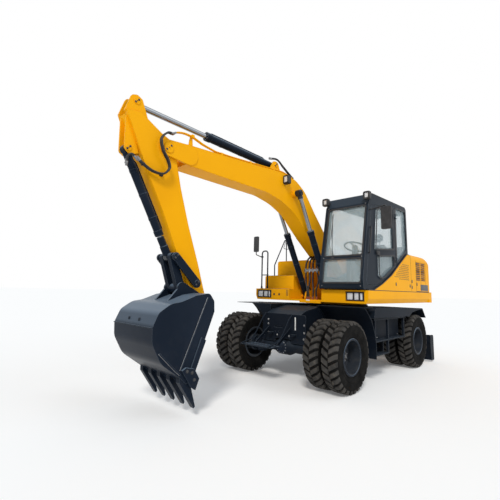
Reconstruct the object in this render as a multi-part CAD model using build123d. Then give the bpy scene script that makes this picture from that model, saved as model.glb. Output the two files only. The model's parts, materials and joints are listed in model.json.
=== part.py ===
from build123d import *

import os
from math import acos, atan2, cos, hypot, sin

# Wheeled excavator of about 14 tonnes. Millimetres, X forward, Y left, Z up, origin on the
# ground under the slew axis. Outlines of plates are lists of (x, z) corners in side view.

# ---- running gear ----
WHEEL_RADIUS = 527.5
TYRE_WIDTH = 272.0
TYRE_SPACING = 317.0
WIDTH_OVER_TYRES = 2550.0
OUTER_TYRE_Y = WIDTH_OVER_TYRES / 2 - TYRE_WIDTH / 2
INNER_TYRE_Y = OUTER_TYRE_Y - TYRE_SPACING
PAIR_Y = (OUTER_TYRE_Y + INNER_TYRE_Y) / 2
HUB_INNER_Y = INNER_TYRE_Y - TYRE_WIDTH / 2 + 17
BEAD_RADIUS = 255.0
BEAD_HALF_WIDTH = 95.0
RIM_FLANGE_RADIUS = 275.0
RIM_THICKNESS = 10.0
HUB_RADIUS = 140.0
HUB_CAP_RADIUS = 105.0
FRONT_AXLE_X = 1776.0
REAR_AXLE_X = -1027.0
AXLE_RADIUS = 85.0
AXLE_HUMP_RADIUS = 130.0
AXLE_HUMP_HALF = 110.0
AXLE_TAPER_END = 210.0
KINGPIN_INSET = 103.0
KINGPIN_Y = HUB_INNER_Y - KINGPIN_INSET
KINGPIN_RADIUS = 30.0
FORK_HALF_HEIGHT = 100.0
FORK_PLATE = 30.0
FORK_HALF_LENGTH = 52.0
STEERING_ARM = 190.0
STEERING_ARM_PLATE = 22.0
STEERING_PIN_X = FRONT_AXLE_X - STEERING_ARM
STEERING_Z = WHEEL_RADIUS + 115.0
STEERING_ROD_RADIUS = 22.0
STEERING_EYE_HALF = 24.0
STEERING_BARREL_RADIUS = 42.0
STEERING_BARREL_HALF = 170.0
SEAT_GAP = 0.3
RUNNING_GAP = 0.5
MOVING_GAP = 5.0

# ---- chassis ----
FRAME_HALF_WIDTH = 370.0
FRAME_FRONT = 1860.0
FRAME_REAR = -1500.0
FRAME_TOP = 1080.0
FRAME_BOTTOM = WHEEL_RADIUS + 192.5
FRAME_BELLY = WHEEL_RADIUS + 112.5
FRAME_TAIL = FRAME_BOTTOM + 140.0
FRAME_NOSE = 1085.0
FRAME_CROWN = 1215.0
FRONT_PLATE = 16.0
FRONT_PLATE_HALF_WIDTH = 470.0
FENDER_ARC_RADIUS = 815.0
FENDER_TOP = 1243.0
FENDER_SHEET = 8.0
SIDE_REACH = 1250.0
# lid over the rear wheel and the steps: its top line, the sheet's underside and the skirt's lower edge
LID_CROWN = [(1020, 1064), (980, 1190), (905, 1237), (-600, 1202), (-1370, 1184), (-1560, 982)]
LID_CROWN_UNDER = [(1012, 1062), (973, 1185), (902, 1229), (-602, 1194), (-1366, 1176), (-1550, 976)]
LID_SKIRT_EDGE = [(-1550, 976), (-1364, 1164), (-1070, 1152), (-744, 1113), (-580, 1036), (-380, 1052)]
# side step rails and treads, (x pair, z pair)
STEP_RAILS = (((-480, 940), (1020, 1050)), ((-440, 900), (655, 675)), ((340, 900), (430, 450)))
STEP_TREADS = (((-440, 860), (662, 669)), ((350, 900), (437, 444)))
SLEW_RING_RADIUS = 560.0
SLEW_RING_TOP = 1240.0
LASHING_EYE_REACH = 45.0
LASHING_EYE_Y = 245.0
LASHING_EYE_Z = 745.0
LASHING_EYE_RADIUS = 20.0
LASHING_EYE_LENGTH = 30.0
LASHING_EYE_X = FRAME_FRONT + LASHING_EYE_REACH

# ---- dozer blade ----
BLADE_PIVOT = (-1400.0, 600.0)
BLADE_HINGE_PIN = 28.0
BLADE_ARM_Y = 330.0
BLADE_HALF_WIDTH = 1245.0
BLADE_ROD_PIN = (-1780.0, 330.0)
BLADE_CYLINDER_PIN = (-1570.0, 1120.0)
BLADE_CYLINDER_Y = 200.0

# ---- upper body ----
DECK_BOTTOM = 1300.0
DECK_TOP = 1520.0
DECK_FRONT = 1222.0
DECK_REAR = -1870.0
CHANNEL_HALF_WIDTH = 365.0
CHANNEL_FLOOR = 30.0
BRACKET_INNER = 175.0
BRACKET_PLATE = 30.0
TAIL_REAR = -2250.0
TAIL_UPPER_REAR = -2120.0
TAIL_FOOT_TOP = 1530.0
CAB_INNER_Y = 372.0
CAB_OUTER_Y = SIDE_REACH - 35.0
CAB_WALL = 50.0
CONSOLE_WIDTH = 95.0
CONSOLE_INSET = CAB_WALL + 11.5
MOUNT_HEIGHT = 15.0
CAB_BASE = DECK_TOP + MOUNT_HEIGHT
HOOD_TOP = 2320.0
HOOD_BACK_Z = 2257.0
HOOD_FRONT = -765.0
HOOD_REAR = -1770.0
HOOD_LEFT_Y = SIDE_REACH - 5.0
HOOD_RIGHT_Y = SIDE_REACH - 10.0
HOOD_ROUND = 140.0
HOOD_WALL = 42.0
LOUVRE_COLUMNS = ((-1650.0, -1390.0), (-1340.0, -1085.0))
LOUVRE_Z = (1765.0, 2165.0)
LOUVRE_PLATE = 30.0
LOUVRE_PITCH = 50.0
LOUVRE_SLOT = 22.0
LOUVRE_ROWS = 7
TANK_TOP = 2150.0
TANK_FRONT = 520.0
DECK_LAMPS = ((-1205.0, -835.0), (850.0, 1170.0))
LAMP_RECESS = 40.0
RAIL_X = 1150.0
RAIL_RADIUS = 14.0
HOOP_Y = 90.0 - SIDE_REACH
GUARD_Y = 35.0 - SIDE_REACH
GLASS = 6.0

# ---- boom, arm and bucket pins, (x, z) ----
BOOM_FOOT = (50.0, 1750.0)
BOOM_CYLINDER_BASE = (780.0, 1400.0)
BOOM_CYLINDER_EYE = (1790.0, 3210.0)
ARM_PIVOT = (4400.0, 3230.0)
ARM_CYLINDER_BASE = (2235.0, 3646.0)
ARM_CYLINDER_EYE = (4830.0, 3695.0)
BUCKET_PIVOT = (3745.0, 1285.0)
BUCKET_CYLINDER_BASE = (4890.0, 3090.0)
LINK_PIN = (4222.0, 1867.0)
IDLER_PIVOT = (3888.0, 1545.0)
BUCKET_LINK_PIN = (4088.0, 1481.0)

BOOM_FOOT_PIN = 45.0
ARM_PIVOT_PIN = 40.0
BUCKET_PIVOT_PIN = 38.0
IDLER_PIN = 35.0
LINK_PIN_RADIUS = 34.0
BOOM_HALF_WIDTH = 150.0
ARM_HALF_WIDTH = 122.0
BUCKET_HALF_WIDTH = 455.0
BUCKET_PLATE = 18.0
SIDE_CUTTER = 14.0
EAR_PLATE = 30.0
ARM_SLOT = 56.0

# hydraulic cylinders, distances from the base pin: gland end of the barrel, inner end of the rod at rest;
# then radii of barrel, rod, pin and eyes, and half widths of the base and rod eyes
CYLINDER_COLUMNS = ("gland", "inner", "outer", "rod", "pin", "eye", "base_half", "eye_half")
CYLINDER_TABLE = {
    "boom": (1340.0, 680.0, 58.0, 35.0, 35.0, 60.0, 33.0, 45.0),
    "arm": (1470.0, 1100.0, 60.0, 37.0, 32.0, 58.0, 64.0, 42.0),
    "bucket": (1090.0, 170.0, 50.0, 32.0, 30.0, 50.0, 40.0, 38.0),
    "blade": (470.0, 320.0, 42.0, 24.0, 20.0, 40.0, 46.0, 28.0),
}
CYLINDERS = {name: dict(zip(CYLINDER_COLUMNS, row)) for name, row in CYLINDER_TABLE.items()}
BORE_FLOOR = 12.0
BOOM_CYLINDER_Y = 270.0


def block(x, y, z):
    """Box between three (low, high) pairs."""
    size = [high - low for low, high in (x, y, z)]
    return Pos(x[0], y[0], z[0]) * Box(*size, align=(Align.MIN, Align.MIN, Align.MIN))


def plate(outline, y, radius=0):
    """Plate across the (low, high) pair y, from (x, z) corners rounded by one radius or one for each."""
    corners = [(corner[0], y[0], corner[1]) for corner in outline]
    if radius:
        edge = FilletPolyline(*corners, radius=radius, close=True)
    else:
        edge = Polyline(*corners, close=True)
    return extrude(make_face(edge), amount=y[1] - y[0], dir=(0, 1, 0))


def cross_plate(outline, x, radius=0):
    """Plate across the (low, high) pair x, from (y, z) corners rounded by one radius or one for each."""
    corners = [(x[0], *corner) for corner in outline]
    if radius:
        edge = FilletPolyline(*corners, radius=radius, close=True)
    else:
        edge = Polyline(*corners, close=True)
    return extrude(make_face(edge), amount=x[1] - x[0], dir=(1, 0, 0))


def disc(centre, y, radius, bore=0):
    """Round bar along Y through the (x, z) centre, bored through if a bore radius is given."""
    place = Pos(centre[0], (y[0] + y[1]) / 2, centre[1]) * Rot(90, 0, 0)
    bar = place * Cylinder(radius, y[1] - y[0])
    if bore:
        bar -= place * Cylinder(bore, 2 * (y[1] - y[0]))
    return bar


def turned(profile, centre):
    """Solid turned about the Y axis through the (x, z) centre, from (y, radius) corners."""
    corners = [(centre[0], y, centre[1] + radius) for y, radius in profile]
    axis = Axis((centre[0], 0, centre[1]), (0, 1, 0))
    return revolve(make_face(Polyline(*corners, close=True)), axis)


def strut(start, end, radius):
    """Round bar from point to point."""
    run = Vector(*end) - Vector(*start)
    place = Plane(origin=start, z_dir=run)
    return place * Cylinder(radius, run.length, align=(Align.CENTER, Align.CENTER, Align.MIN))


def bent_bar(points, bend, radius):
    """Round bar along straight runs joined by bends."""
    path = FilletPolyline(*points, radius=bend)
    section = Plane(origin=path @ 0, z_dir=path % 0) * Circle(radius)
    return sweep(section, path=path)


def mirrored(solid):
    """The solid and its twin on the right side."""
    return [solid, mirror(solid, about=Plane.XZ)]


def hull_plate(centres, y, radii):
    """Plate with straight flanks between two round ends."""
    (ax, az), (bx, bz) = centres
    lean = atan2(bz - az, bx - ax)
    turn = acos((radii[0] - radii[1]) / hypot(bx - ax, bz - az))
    corners = []
    for angle, order in ((lean + turn, 1), (lean - turn, -1)):
        ends = [(x + radius * cos(angle), z + radius * sin(angle))
                for (x, z), radius in zip(centres, radii)]
        corners += ends[::order]
    return plate(corners, y) + disc(centres[0], y, radii[0]) + disc(centres[1], y, radii[1])


def heading(start, end):
    """Unit direction and length from one (x, z) point to another."""
    run = (end[0] - start[0], end[1] - start[1])
    length = hypot(*run)
    return (run[0] / length, run[1] / length), length


def barrel(base, eye, size, y_centre=0.0):
    """Cylinder barrel: base eye, tube bored for the rod and gland ring."""
    (ux, uz), _ = heading(base, eye)
    tube_start = size["eye"] * 0.75

    def at(distance):
        return (base[0] + ux * distance, y_centre, base[1] + uz * distance)

    sides = (y_centre - size["base_half"], y_centre + size["base_half"])
    body = strut(at(tube_start), at(size["gland"]), size["outer"])
    body += strut(at(size["gland"] - size["outer"] * 1.2), at(size["gland"]), size["outer"] * 1.12)
    body += disc(base, sides, size["eye"])
    body -= strut(at(size["eye"] + BORE_FLOOR), at(size["gland"] + 1), size["rod"] + RUNNING_GAP)
    return body - disc(base, (sides[0] - 1, sides[1] + 1), size["pin"] + RUNNING_GAP)


def piston_rod(base, eye, size, y_centre=0.0):
    """Piston rod from inside the barrel to its eye, the pin filling the eye."""
    (ux, uz), length = heading(base, eye)

    def at(distance):
        return (base[0] + ux * distance, y_centre, base[1] + uz * distance)

    sides = (y_centre - size["eye_half"], y_centre + size["eye_half"])
    rod = strut(at(size["inner"]), at(length), size["rod"])
    rod += disc(eye, sides, size["eye"])
    return rod + strut(at(length - size["eye"] * 1.9), at(length - size["eye"] * 0.6), size["rod"] * 1.35)


# ---- wheels ----
def tyre(axle_x, y_centre):
    """One tyre: bead, sidewall, shoulder and tread band."""
    half = TYRE_WIDTH / 2
    flank = [(BEAD_HALF_WIDTH, BEAD_RADIUS), (BEAD_HALF_WIDTH, RIM_FLANGE_RADIUS + 4), (half, 400.0),
             (half * 0.93, 480.0), (half * 0.8, WHEEL_RADIUS)]
    profile = [(y_centre + y, radius) for y, radius in flank]
    profile += [(y_centre - y, radius) for y, radius in reversed(flank)]
    return turned(profile, (axle_x, WHEEL_RADIUS))


def rim_pair(axle_x):
    """Left rims and hub: two dished rims meeting at the hub flange, and a stepped hub through them."""
    barrel_out = BEAD_RADIUS - SEAT_GAP
    barrel_in = barrel_out - RIM_THICKNESS
    flange_in = BEAD_HALF_WIDTH + SEAT_GAP
    flange_out = flange_in + 12.0
    solid = None
    for centre, side in ((OUTER_TYRE_Y, 1), (INNER_TYRE_Y, -1)):
        dish = [(PAIR_Y, HUB_RADIUS - 20), (PAIR_Y, 215.0), (centre - side * flange_out, barrel_out),
                (centre - side * flange_out, RIM_FLANGE_RADIUS), (centre - side * flange_in, RIM_FLANGE_RADIUS),
                (centre - side * flange_in, barrel_out), (centre + side * flange_in, barrel_out),
                (centre + side * flange_in, RIM_FLANGE_RADIUS), (centre + side * flange_out, RIM_FLANGE_RADIUS),
                (centre + side * flange_out, barrel_in), (centre - side * flange_in, barrel_in),
                (PAIR_Y + side * 14, 200.0), (PAIR_Y + side * 14, HUB_RADIUS - 20)]
        ring = turned(dish, (axle_x, WHEEL_RADIUS))
        solid = ring if solid is None else solid + ring
    hub = [(HUB_INNER_Y, 0), (HUB_INNER_Y, HUB_RADIUS), (PAIR_Y + 60, HUB_RADIUS), (PAIR_Y + 75, HUB_CAP_RADIUS + 15),
           (PAIR_Y + 110, HUB_CAP_RADIUS), (PAIR_Y + 130, HUB_CAP_RADIUS - 20), (PAIR_Y + 130, 0)]
    return solid + turned(hub, (axle_x, WHEEL_RADIUS))


# ---- axles ----
def axle_housing(axle_x, half_length):
    """Axle beam with its differential hump in the middle."""
    profile = [(-half_length, 0), (-half_length, AXLE_RADIUS), (-AXLE_TAPER_END, AXLE_RADIUS),
               (-AXLE_HUMP_HALF, AXLE_HUMP_RADIUS), (AXLE_HUMP_HALF, AXLE_HUMP_RADIUS),
               (AXLE_TAPER_END, AXLE_RADIUS), (half_length, AXLE_RADIUS), (half_length, 0)]
    return turned(profile, (axle_x, WHEEL_RADIUS))


def front_axle():
    """Steered axle: beam, kingpin forks, pinion nose and steering cylinder barrel behind the beam."""
    beam = axle_housing(FRONT_AXLE_X, KINGPIN_Y - 100)
    beam += Pos(FRONT_AXLE_X - 150, 0, WHEEL_RADIUS) * Rot(0, 90, 0) * Cylinder(75, 160)
    reach = FORK_HALF_HEIGHT + FORK_PLATE
    across = (FRONT_AXLE_X - FORK_HALF_LENGTH, FRONT_AXLE_X + FORK_HALF_LENGTH)
    for side in (1, -1):
        for low in (WHEEL_RADIUS + FORK_HALF_HEIGHT, WHEEL_RADIUS - reach):
            y_pair = sorted((side * (KINGPIN_Y - 130), side * KINGPIN_Y))
            beam += block(across, y_pair, (low, low + FORK_PLATE))
            beam += Pos(FRONT_AXLE_X, side * KINGPIN_Y, low) * Cylinder(
                FORK_HALF_LENGTH, FORK_PLATE, align=(Align.CENTER, Align.CENTER, Align.MIN))
        web_y = sorted((side * (KINGPIN_Y - 130), side * (KINGPIN_Y - 100)))
        beam += block(across, web_y, (WHEEL_RADIUS - reach, WHEEL_RADIUS + reach))
        beam += Pos(FRONT_AXLE_X, side * KINGPIN_Y, WHEEL_RADIUS) * Cylinder(KINGPIN_RADIUS, 2 * reach + 10)
    half = STEERING_BARREL_HALF
    steer = disc((STEERING_PIN_X, STEERING_Z), (-half, half), STEERING_BARREL_RADIUS)
    for y in (-110, 110):
        steer += block((STEERING_PIN_X, FRONT_AXLE_X - 60), (y - 15, y + 15), (STEERING_Z - 35, STEERING_Z + 15))
    steer -= disc((STEERING_PIN_X, STEERING_Z), (-half - 1, half + 1), STEERING_ROD_RADIUS + RUNNING_GAP)
    return beam + steer


def rear_axle():
    """Driven axle with the travel gearbox on its nose and hub seats at its ends."""
    beam = axle_housing(REAR_AXLE_X, HUB_INNER_Y - RUNNING_GAP)
    beam += Pos(REAR_AXLE_X + 190, 0, WHEEL_RADIUS + 30) * Rot(0, 90, 0) * Cylinder(104, 220)
    beam += block((REAR_AXLE_X + 200, REAR_AXLE_X + 330), (-120, 120), (WHEEL_RADIUS - 80, WHEEL_RADIUS + 160))
    for y in (-300, 300):
        beam += block((REAR_AXLE_X - 75, REAR_AXLE_X + 75), (y - 50, y + 50), (WHEEL_RADIUS, FRAME_BOTTOM))
    return beam


def prop_shaft():
    """Shaft from the gearbox to the front axle's nose, with its joint yokes."""
    start = (REAR_AXLE_X + 330.0, 0, WHEEL_RADIUS)
    end = (FRONT_AXLE_X - 230.0, 0, WHEEL_RADIUS)
    shaft = strut(start, end, 38)
    shaft += strut(start, (start[0] + 90, 0, WHEEL_RADIUS), 62)
    return shaft + strut((end[0] - 90, 0, WHEEL_RADIUS), end, 62)


def knuckle():
    """Left knuckle: kingpin barrel, spindle and steering arm."""
    half = FORK_HALF_HEIGHT - 1
    body = Pos(FRONT_AXLE_X, KINGPIN_Y, WHEEL_RADIUS) * Cylinder(55, 2 * half)
    body += disc((FRONT_AXLE_X, WHEEL_RADIUS), (KINGPIN_Y, KINGPIN_Y + 62), 80)
    body += disc((FRONT_AXLE_X, WHEEL_RADIUS), (KINGPIN_Y + 60, HUB_INNER_Y - RUNNING_GAP), 125)
    arm_top = STEERING_Z - STEERING_EYE_HALF - MOVING_GAP
    arm_low = arm_top - STEERING_ARM_PLATE
    arm = block((STEERING_PIN_X, FRONT_AXLE_X), (KINGPIN_Y - 28, KINGPIN_Y + 28), (arm_low, arm_top))
    arm += Pos(STEERING_PIN_X, KINGPIN_Y, (arm_low + arm_top) / 2) * Cylinder(32, STEERING_ARM_PLATE)
    body += arm
    return body - Pos(FRONT_AXLE_X, KINGPIN_Y, WHEEL_RADIUS) * Cylinder(KINGPIN_RADIUS + RUNNING_GAP, 400)


def steering_rod():
    """Double-ended steering piston rod with its two end eyes."""
    rod = disc((STEERING_PIN_X, STEERING_Z), (-KINGPIN_Y, KINGPIN_Y), STEERING_ROD_RADIUS)
    for side in (1, -1):
        rod += Pos(STEERING_PIN_X, side * KINGPIN_Y, STEERING_Z) * Cylinder(34, 2 * STEERING_EYE_HALF)
    return rod


# ---- chassis ----
def chassis_frame():
    """Welded box frame with axle saddles, slew pedestal, front plate and blade brackets."""
    outline = [(FRAME_REAR, FRAME_TAIL), (REAR_AXLE_X - 230, FRAME_BOTTOM), (REAR_AXLE_X + 430, FRAME_BOTTOM),
               (REAR_AXLE_X + 560, FRAME_BELLY), (FRONT_AXLE_X - 360, FRAME_BELLY),
               (FRONT_AXLE_X - 240, FRAME_BOTTOM),
               (FRAME_FRONT, FRAME_BOTTOM), (FRAME_FRONT, FRAME_NOSE), (FRAME_FRONT - 150, FRAME_NOSE + 65),
               (1300, FRAME_CROWN), (-560, FRAME_CROWN), (-900, FRAME_TOP), (FRAME_REAR, FRAME_TOP)]
    frame = plate(outline, (-FRAME_HALF_WIDTH, FRAME_HALF_WIDTH))
    frame += Pos(0, 0, SLEW_RING_TOP - 60) * Cylinder(
        SLEW_RING_RADIUS + 40, 60, align=(Align.CENTER, Align.CENTER, Align.MIN))
    frame += front_plate()
    frame -= front_pockets()
    saddle_z = WHEEL_RADIUS + AXLE_RADIUS + 1
    for y in (-280, 280):
        cheek = [(FRONT_AXLE_X - 60, saddle_z), (FRONT_AXLE_X + 60, saddle_z),
                 (FRAME_FRONT - FRONT_PLATE, FRAME_BOTTOM), (FRONT_AXLE_X - 170, FRAME_BOTTOM)]
        frame += plate(cheek, (y - 25, y + 25))
    for side in (1, -1):
        frame += blade_bracket(side)
        frame += lashing_lug(side)
    return frame


def front_plate():
    """Front plate, notched over the axle's hump, with its slot and two access holes."""
    notch = WHEEL_RADIUS + AXLE_HUMP_RADIUS + 8
    half = FRONT_PLATE_HALF_WIDTH
    low = WHEEL_RADIUS + 82.5
    outline = [(-half, low), (-175, low), (-175, notch), (175, notch), (175, low), (half, low),
               (half, FRAME_NOSE), (-half, FRAME_NOSE)]
    return cross_plate(outline, (FRAME_FRONT - FRONT_PLATE, FRAME_FRONT), [25, 0, 25, 25, 0, 25, 40, 40])


def front_pockets():
    """Shallow slot and holes sunk in the front plate."""
    x = (FRAME_FRONT - 10, FRAME_FRONT + 1)
    pockets = cross_plate([(-210, 845), (-10, 845), (-10, 875), (-210, 875)], x, 14)
    for y in (-157, -83):
        pockets += Pos(FRAME_FRONT, y, 780) * Rot(0, 90, 0) * Cylinder(20, 20)
    return pockets


def blade_bracket(side):
    """Blade hinge lug with its pin, and the ears and pin of one blade cylinder."""
    pair = sorted((side * (BLADE_ARM_Y - 60), side * (BLADE_ARM_Y - 35)))
    hinge_x, hinge_z = BLADE_PIVOT
    lug = [(FRAME_REAR + 160, FRAME_TAIL), (hinge_x + 60, hinge_z - 55), (hinge_x - 60, hinge_z - 55),
           (hinge_x - 60, hinge_z + 60), (FRAME_REAR, FRAME_TAIL + 10)]
    bracket = plate(lug, pair)
    bracket += disc(BLADE_PIVOT, sorted((side * (BLADE_ARM_Y - 60), side * (BLADE_ARM_Y + 36))), BLADE_HINGE_PIN)
    pin_x, pin_z = BLADE_CYLINDER_PIN
    ears = [(FRAME_REAR + 100, FRAME_TOP), (FRAME_REAR, 900), (pin_x - 35, pin_z - 40),
            (pin_x - 35, pin_z + 35), (pin_x + 30, pin_z + 40)]
    reach = CYLINDERS["blade"]["base_half"] + MOVING_GAP
    for step in (-1, 1):
        near = side * BLADE_CYLINDER_Y + step * reach
        bracket += plate(ears, sorted((near, near + step * 18)))
    ends = (side * BLADE_CYLINDER_Y - reach - 18, side * BLADE_CYLINDER_Y + reach + 18)
    return bracket + disc(BLADE_CYLINDER_PIN, ends, CYLINDERS["blade"]["pin"])


def lashing_lug(side):
    """Lashing eye on the front plate, bored upright."""
    half = LASHING_EYE_LENGTH / 2
    y = side * LASHING_EYE_Y
    lug = block((FRAME_FRONT, LASHING_EYE_X), (y - 38, y + 38), (LASHING_EYE_Z - half, LASHING_EYE_Z + half))
    lug += Pos(LASHING_EYE_X, y, LASHING_EYE_Z) * Cylinder(38, LASHING_EYE_LENGTH)
    return lug - Pos(LASHING_EYE_X, y, LASHING_EYE_Z) * Cylinder(LASHING_EYE_RADIUS, 2 * LASHING_EYE_LENGTH)


def front_step():
    """Front step: perforated tread plate on two bent bars, with the brackets under it."""
    tread = block((2190, 2490), (-406, 245), (590, 602))
    holes = [(x, y) for x in (2270, 2400) for y in range(-340, 220, 62)]
    for x, y in holes:
        tread -= Pos(x, y, 596) * Cylinder(15, 20)
    for y in (-390, 195):
        points = [(FRAME_FRONT + 16, y, 1066), (1960, y, 990), (2110, y, 770), (2235, y, 655), (2478, y, 604)]
        tread += bent_bar(points, 80, 10)
    for y in (-320, 150):
        tread += plate([(FRAME_FRONT + SEAT_GAP, 860), (2225, 602), (2400, 602), (2400, 574), (2200, 574),
                        (FRAME_FRONT + SEAT_GAP, 780)], (y - 6, y + 6))
    return [tread]


def fenders():
    """Mudguards: arcs behind the front wheels with their flat tops, and long lids hooped over the rear ones."""
    result = []
    inner_y = FRAME_HALF_WIDTH + SEAT_GAP
    outer = FENDER_ARC_RADIUS + FENDER_SHEET
    under = FENDER_TOP - FENDER_SHEET
    for side, top_front in ((1, 1315.0), (-1, 1770.0)):
        shell = disc((FRONT_AXLE_X, WHEEL_RADIUS), (inner_y, SIDE_REACH), outer, FENDER_ARC_RADIUS)
        keep = block((FRONT_AXLE_X - 900, FRONT_AXLE_X - 380), (0, 1400), (400, under))
        shell &= keep
        shell += block((1060, top_front), (inner_y, SIDE_REACH), (under, FENDER_TOP))
        shell += plate([(1020, 880), (1150, FENDER_TOP - 4), (1400, FENDER_TOP - 4), (1180, 1000)],
                       (inner_y, inner_y + 8))
        if side < 0:
            shell += cross_plate([(inner_y, 905), (inner_y, under), (760, under)],
                                 (top_front - FENDER_SHEET, top_front))
        result.append(shell if side > 0 else mirror(shell, about=Plane.XZ))
    top = plate(LID_CROWN + LID_CROWN_UNDER[::-1], (inner_y, SIDE_REACH))
    top -= Pos(0, 0, SLEW_RING_TOP) * Cylinder(SLEW_RING_RADIUS + 40 + MOVING_GAP, 200)
    skirt = plate(LID_CROWN + LID_SKIRT_EDGE, (SIDE_REACH - FENDER_SHEET, SIDE_REACH))
    return result + mirrored(top + skirt)


def side_steps():
    """Ladder frames and storage boxes between the wheels on both sides."""
    rail_y = (SIDE_REACH - 80, SIDE_REACH - 40)
    box_y = SIDE_REACH - 170
    box = block((-430, 860), (FRAME_HALF_WIDTH + SEAT_GAP, box_y), (650, FRAME_TOP - 20))
    box = fillet(box.edges().filter_by(Axis.X).group_by(Axis.Y)[-1], 20)
    for x, z in STEP_RAILS:
        box += block(x, rail_y, z)
    for x in (-400, 350, 880):
        low = 430 if x > 0 else 655
        box += block((x, x + 30), rail_y, (low, 1050))
    for x, z in STEP_TREADS:
        box += block(x, (box_y - 30, rail_y[1]), z)
    box += block((350, 380), (box_y, box_y + 30), (436, 668))
    return mirrored(box)


def dozer_blade():
    """Curved blade with its end plates, back ribs, two push arms and cylinder lugs."""
    face = [(-1890, 580), (-1850, 430), (-1850, 230), (-1900, 35), (-1925, 35), (-1874, 225), (-1874, 435),
            (-1915, 580)]
    shell = plate(face, (-BLADE_HALF_WIDTH, BLADE_HALF_WIDTH))
    for side in (1, -1):
        ends = sorted((side * BLADE_HALF_WIDTH, side * (BLADE_HALF_WIDTH - 16)))
        shell += plate([(-1850, 580), (-1830, 430), (-1830, 220), (-1880, 35), (-2040, 35), (-2040, 580)], ends,
                       [20, 0, 0, 0, 20, 60])
        for y in (BLADE_ARM_Y + 260, BLADE_ARM_Y + 560):
            rib = [(-1888, 575), (-1852, 430), (-1852, 230), (-1880, 120), (-1840, 230), (-1835, 430), (-1862, 560)]
            shell += plate(rib, sorted((side * y, side * (y + 16))))
        pair = sorted((side * (BLADE_ARM_Y - 30), side * (BLADE_ARM_Y + 30)))
        hinge_x, hinge_z = BLADE_PIVOT
        arm = [(hinge_x, hinge_z - 50), (hinge_x, hinge_z + 50), (-1640, 480), (-1853, 400), (-1853, 180),
               (-1700, 300)]
        shell += plate(arm, pair) + disc(BLADE_PIVOT, pair, 52)
        shell -= disc(BLADE_PIVOT, (pair[0] - 1, pair[1] + 1), BLADE_HINGE_PIN + RUNNING_GAP)
        eye_x, eye_z = BLADE_ROD_PIN
        lug = [(-1853, eye_z + 110), (-1853, eye_z - 110), (eye_x + 10, eye_z - 35), (eye_x + 38, eye_z),
               (eye_x + 10, eye_z + 35)]
        reach = CYLINDERS["blade"]["eye_half"] + MOVING_GAP
        for step in (-1, 1):
            near = side * BLADE_CYLINDER_Y + step * reach
            shell += plate(lug, sorted((near, near + step * 18)))
    return shell


# ---- upper body ----
def deck():
    """Slewing platform: two side platforms, channel floor, boom bracket plates and slew ring."""
    floor_top = DECK_BOTTOM + CHANNEL_FLOOR
    body = block((DECK_REAR, DECK_FRONT), (-CHANNEL_HALF_WIDTH, CHANNEL_HALF_WIDTH), (DECK_BOTTOM, floor_top))
    body += block((DECK_FRONT - 20, DECK_FRONT + 14), (-110, 345), (DECK_BOTTOM - 28, DECK_BOTTOM + 10))
    ring_low = SLEW_RING_TOP + RUNNING_GAP
    body += Pos(0, 0, ring_low) * Cylinder(
        SLEW_RING_RADIUS + 20, DECK_BOTTOM - ring_low, align=(Align.CENTER, Align.CENTER, Align.MIN))
    foot_x, foot_z = BOOM_FOOT
    bracket = [(-420, floor_top), (-330, 1560), (foot_x - 95, foot_z + 60), (foot_x - 40, foot_z + 105),
               (foot_x + 60, foot_z + 95), (620, 1520), (900, 1480), (960, floor_top)]
    section = [(CHANNEL_HALF_WIDTH, DECK_BOTTOM), (SIDE_REACH - 40, DECK_BOTTOM), (SIDE_REACH, DECK_BOTTOM + 82),
               (SIDE_REACH, DECK_TOP), (CHANNEL_HALF_WIDTH, DECK_TOP)]
    platform = cross_plate(section, (DECK_REAR, DECK_FRONT))
    body += platform + mirror(platform, about=Plane.XZ)
    for side in (1, -1):
        body += plate(bracket, sorted((side * BRACKET_INNER, side * (BRACKET_INNER + BRACKET_PLATE))), 30)
        pin = sorted((side * BRACKET_INNER, side * CHANNEL_HALF_WIDTH))
        body += disc(BOOM_CYLINDER_BASE, pin, CYLINDERS["boom"]["pin"])
    for x in (-600, 1100):
        for y in (CAB_INNER_Y + 110, CAB_OUTER_Y - 110):
            body += Pos(x, y, DECK_TOP) * Cylinder(
                60, MOUNT_HEIGHT - SEAT_GAP, align=(Align.CENTER, Align.CENTER, Align.MIN))
    for y in DECK_LAMPS:
        body -= block((DECK_FRONT - LAMP_RECESS, DECK_FRONT + 1), (y[0] - 10, y[1] + 10), (1335, 1500))
    for y in (-750, -620):
        body -= Pos(DECK_FRONT, y, 1410) * Rot(0, 90, 0) * Cylinder(24, 30)
    bracket_reach = BRACKET_INNER + BRACKET_PLATE + 8
    return body + disc(BOOM_FOOT, (-bracket_reach, bracket_reach), BOOM_FOOT_PIN)


def hood_section(x, inset, radius):
    """Hood's cross-section with its rounded top corners, drawn inward by an inset and run along x."""
    left, right = HOOD_LEFT_Y - inset, inset - HOOD_RIGHT_Y
    low, high = DECK_TOP + SEAT_GAP, HOOD_TOP - inset
    return cross_plate([(right, low), (right, high), (left, high), (left, low)], x, [0, radius, radius, 0])


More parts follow.
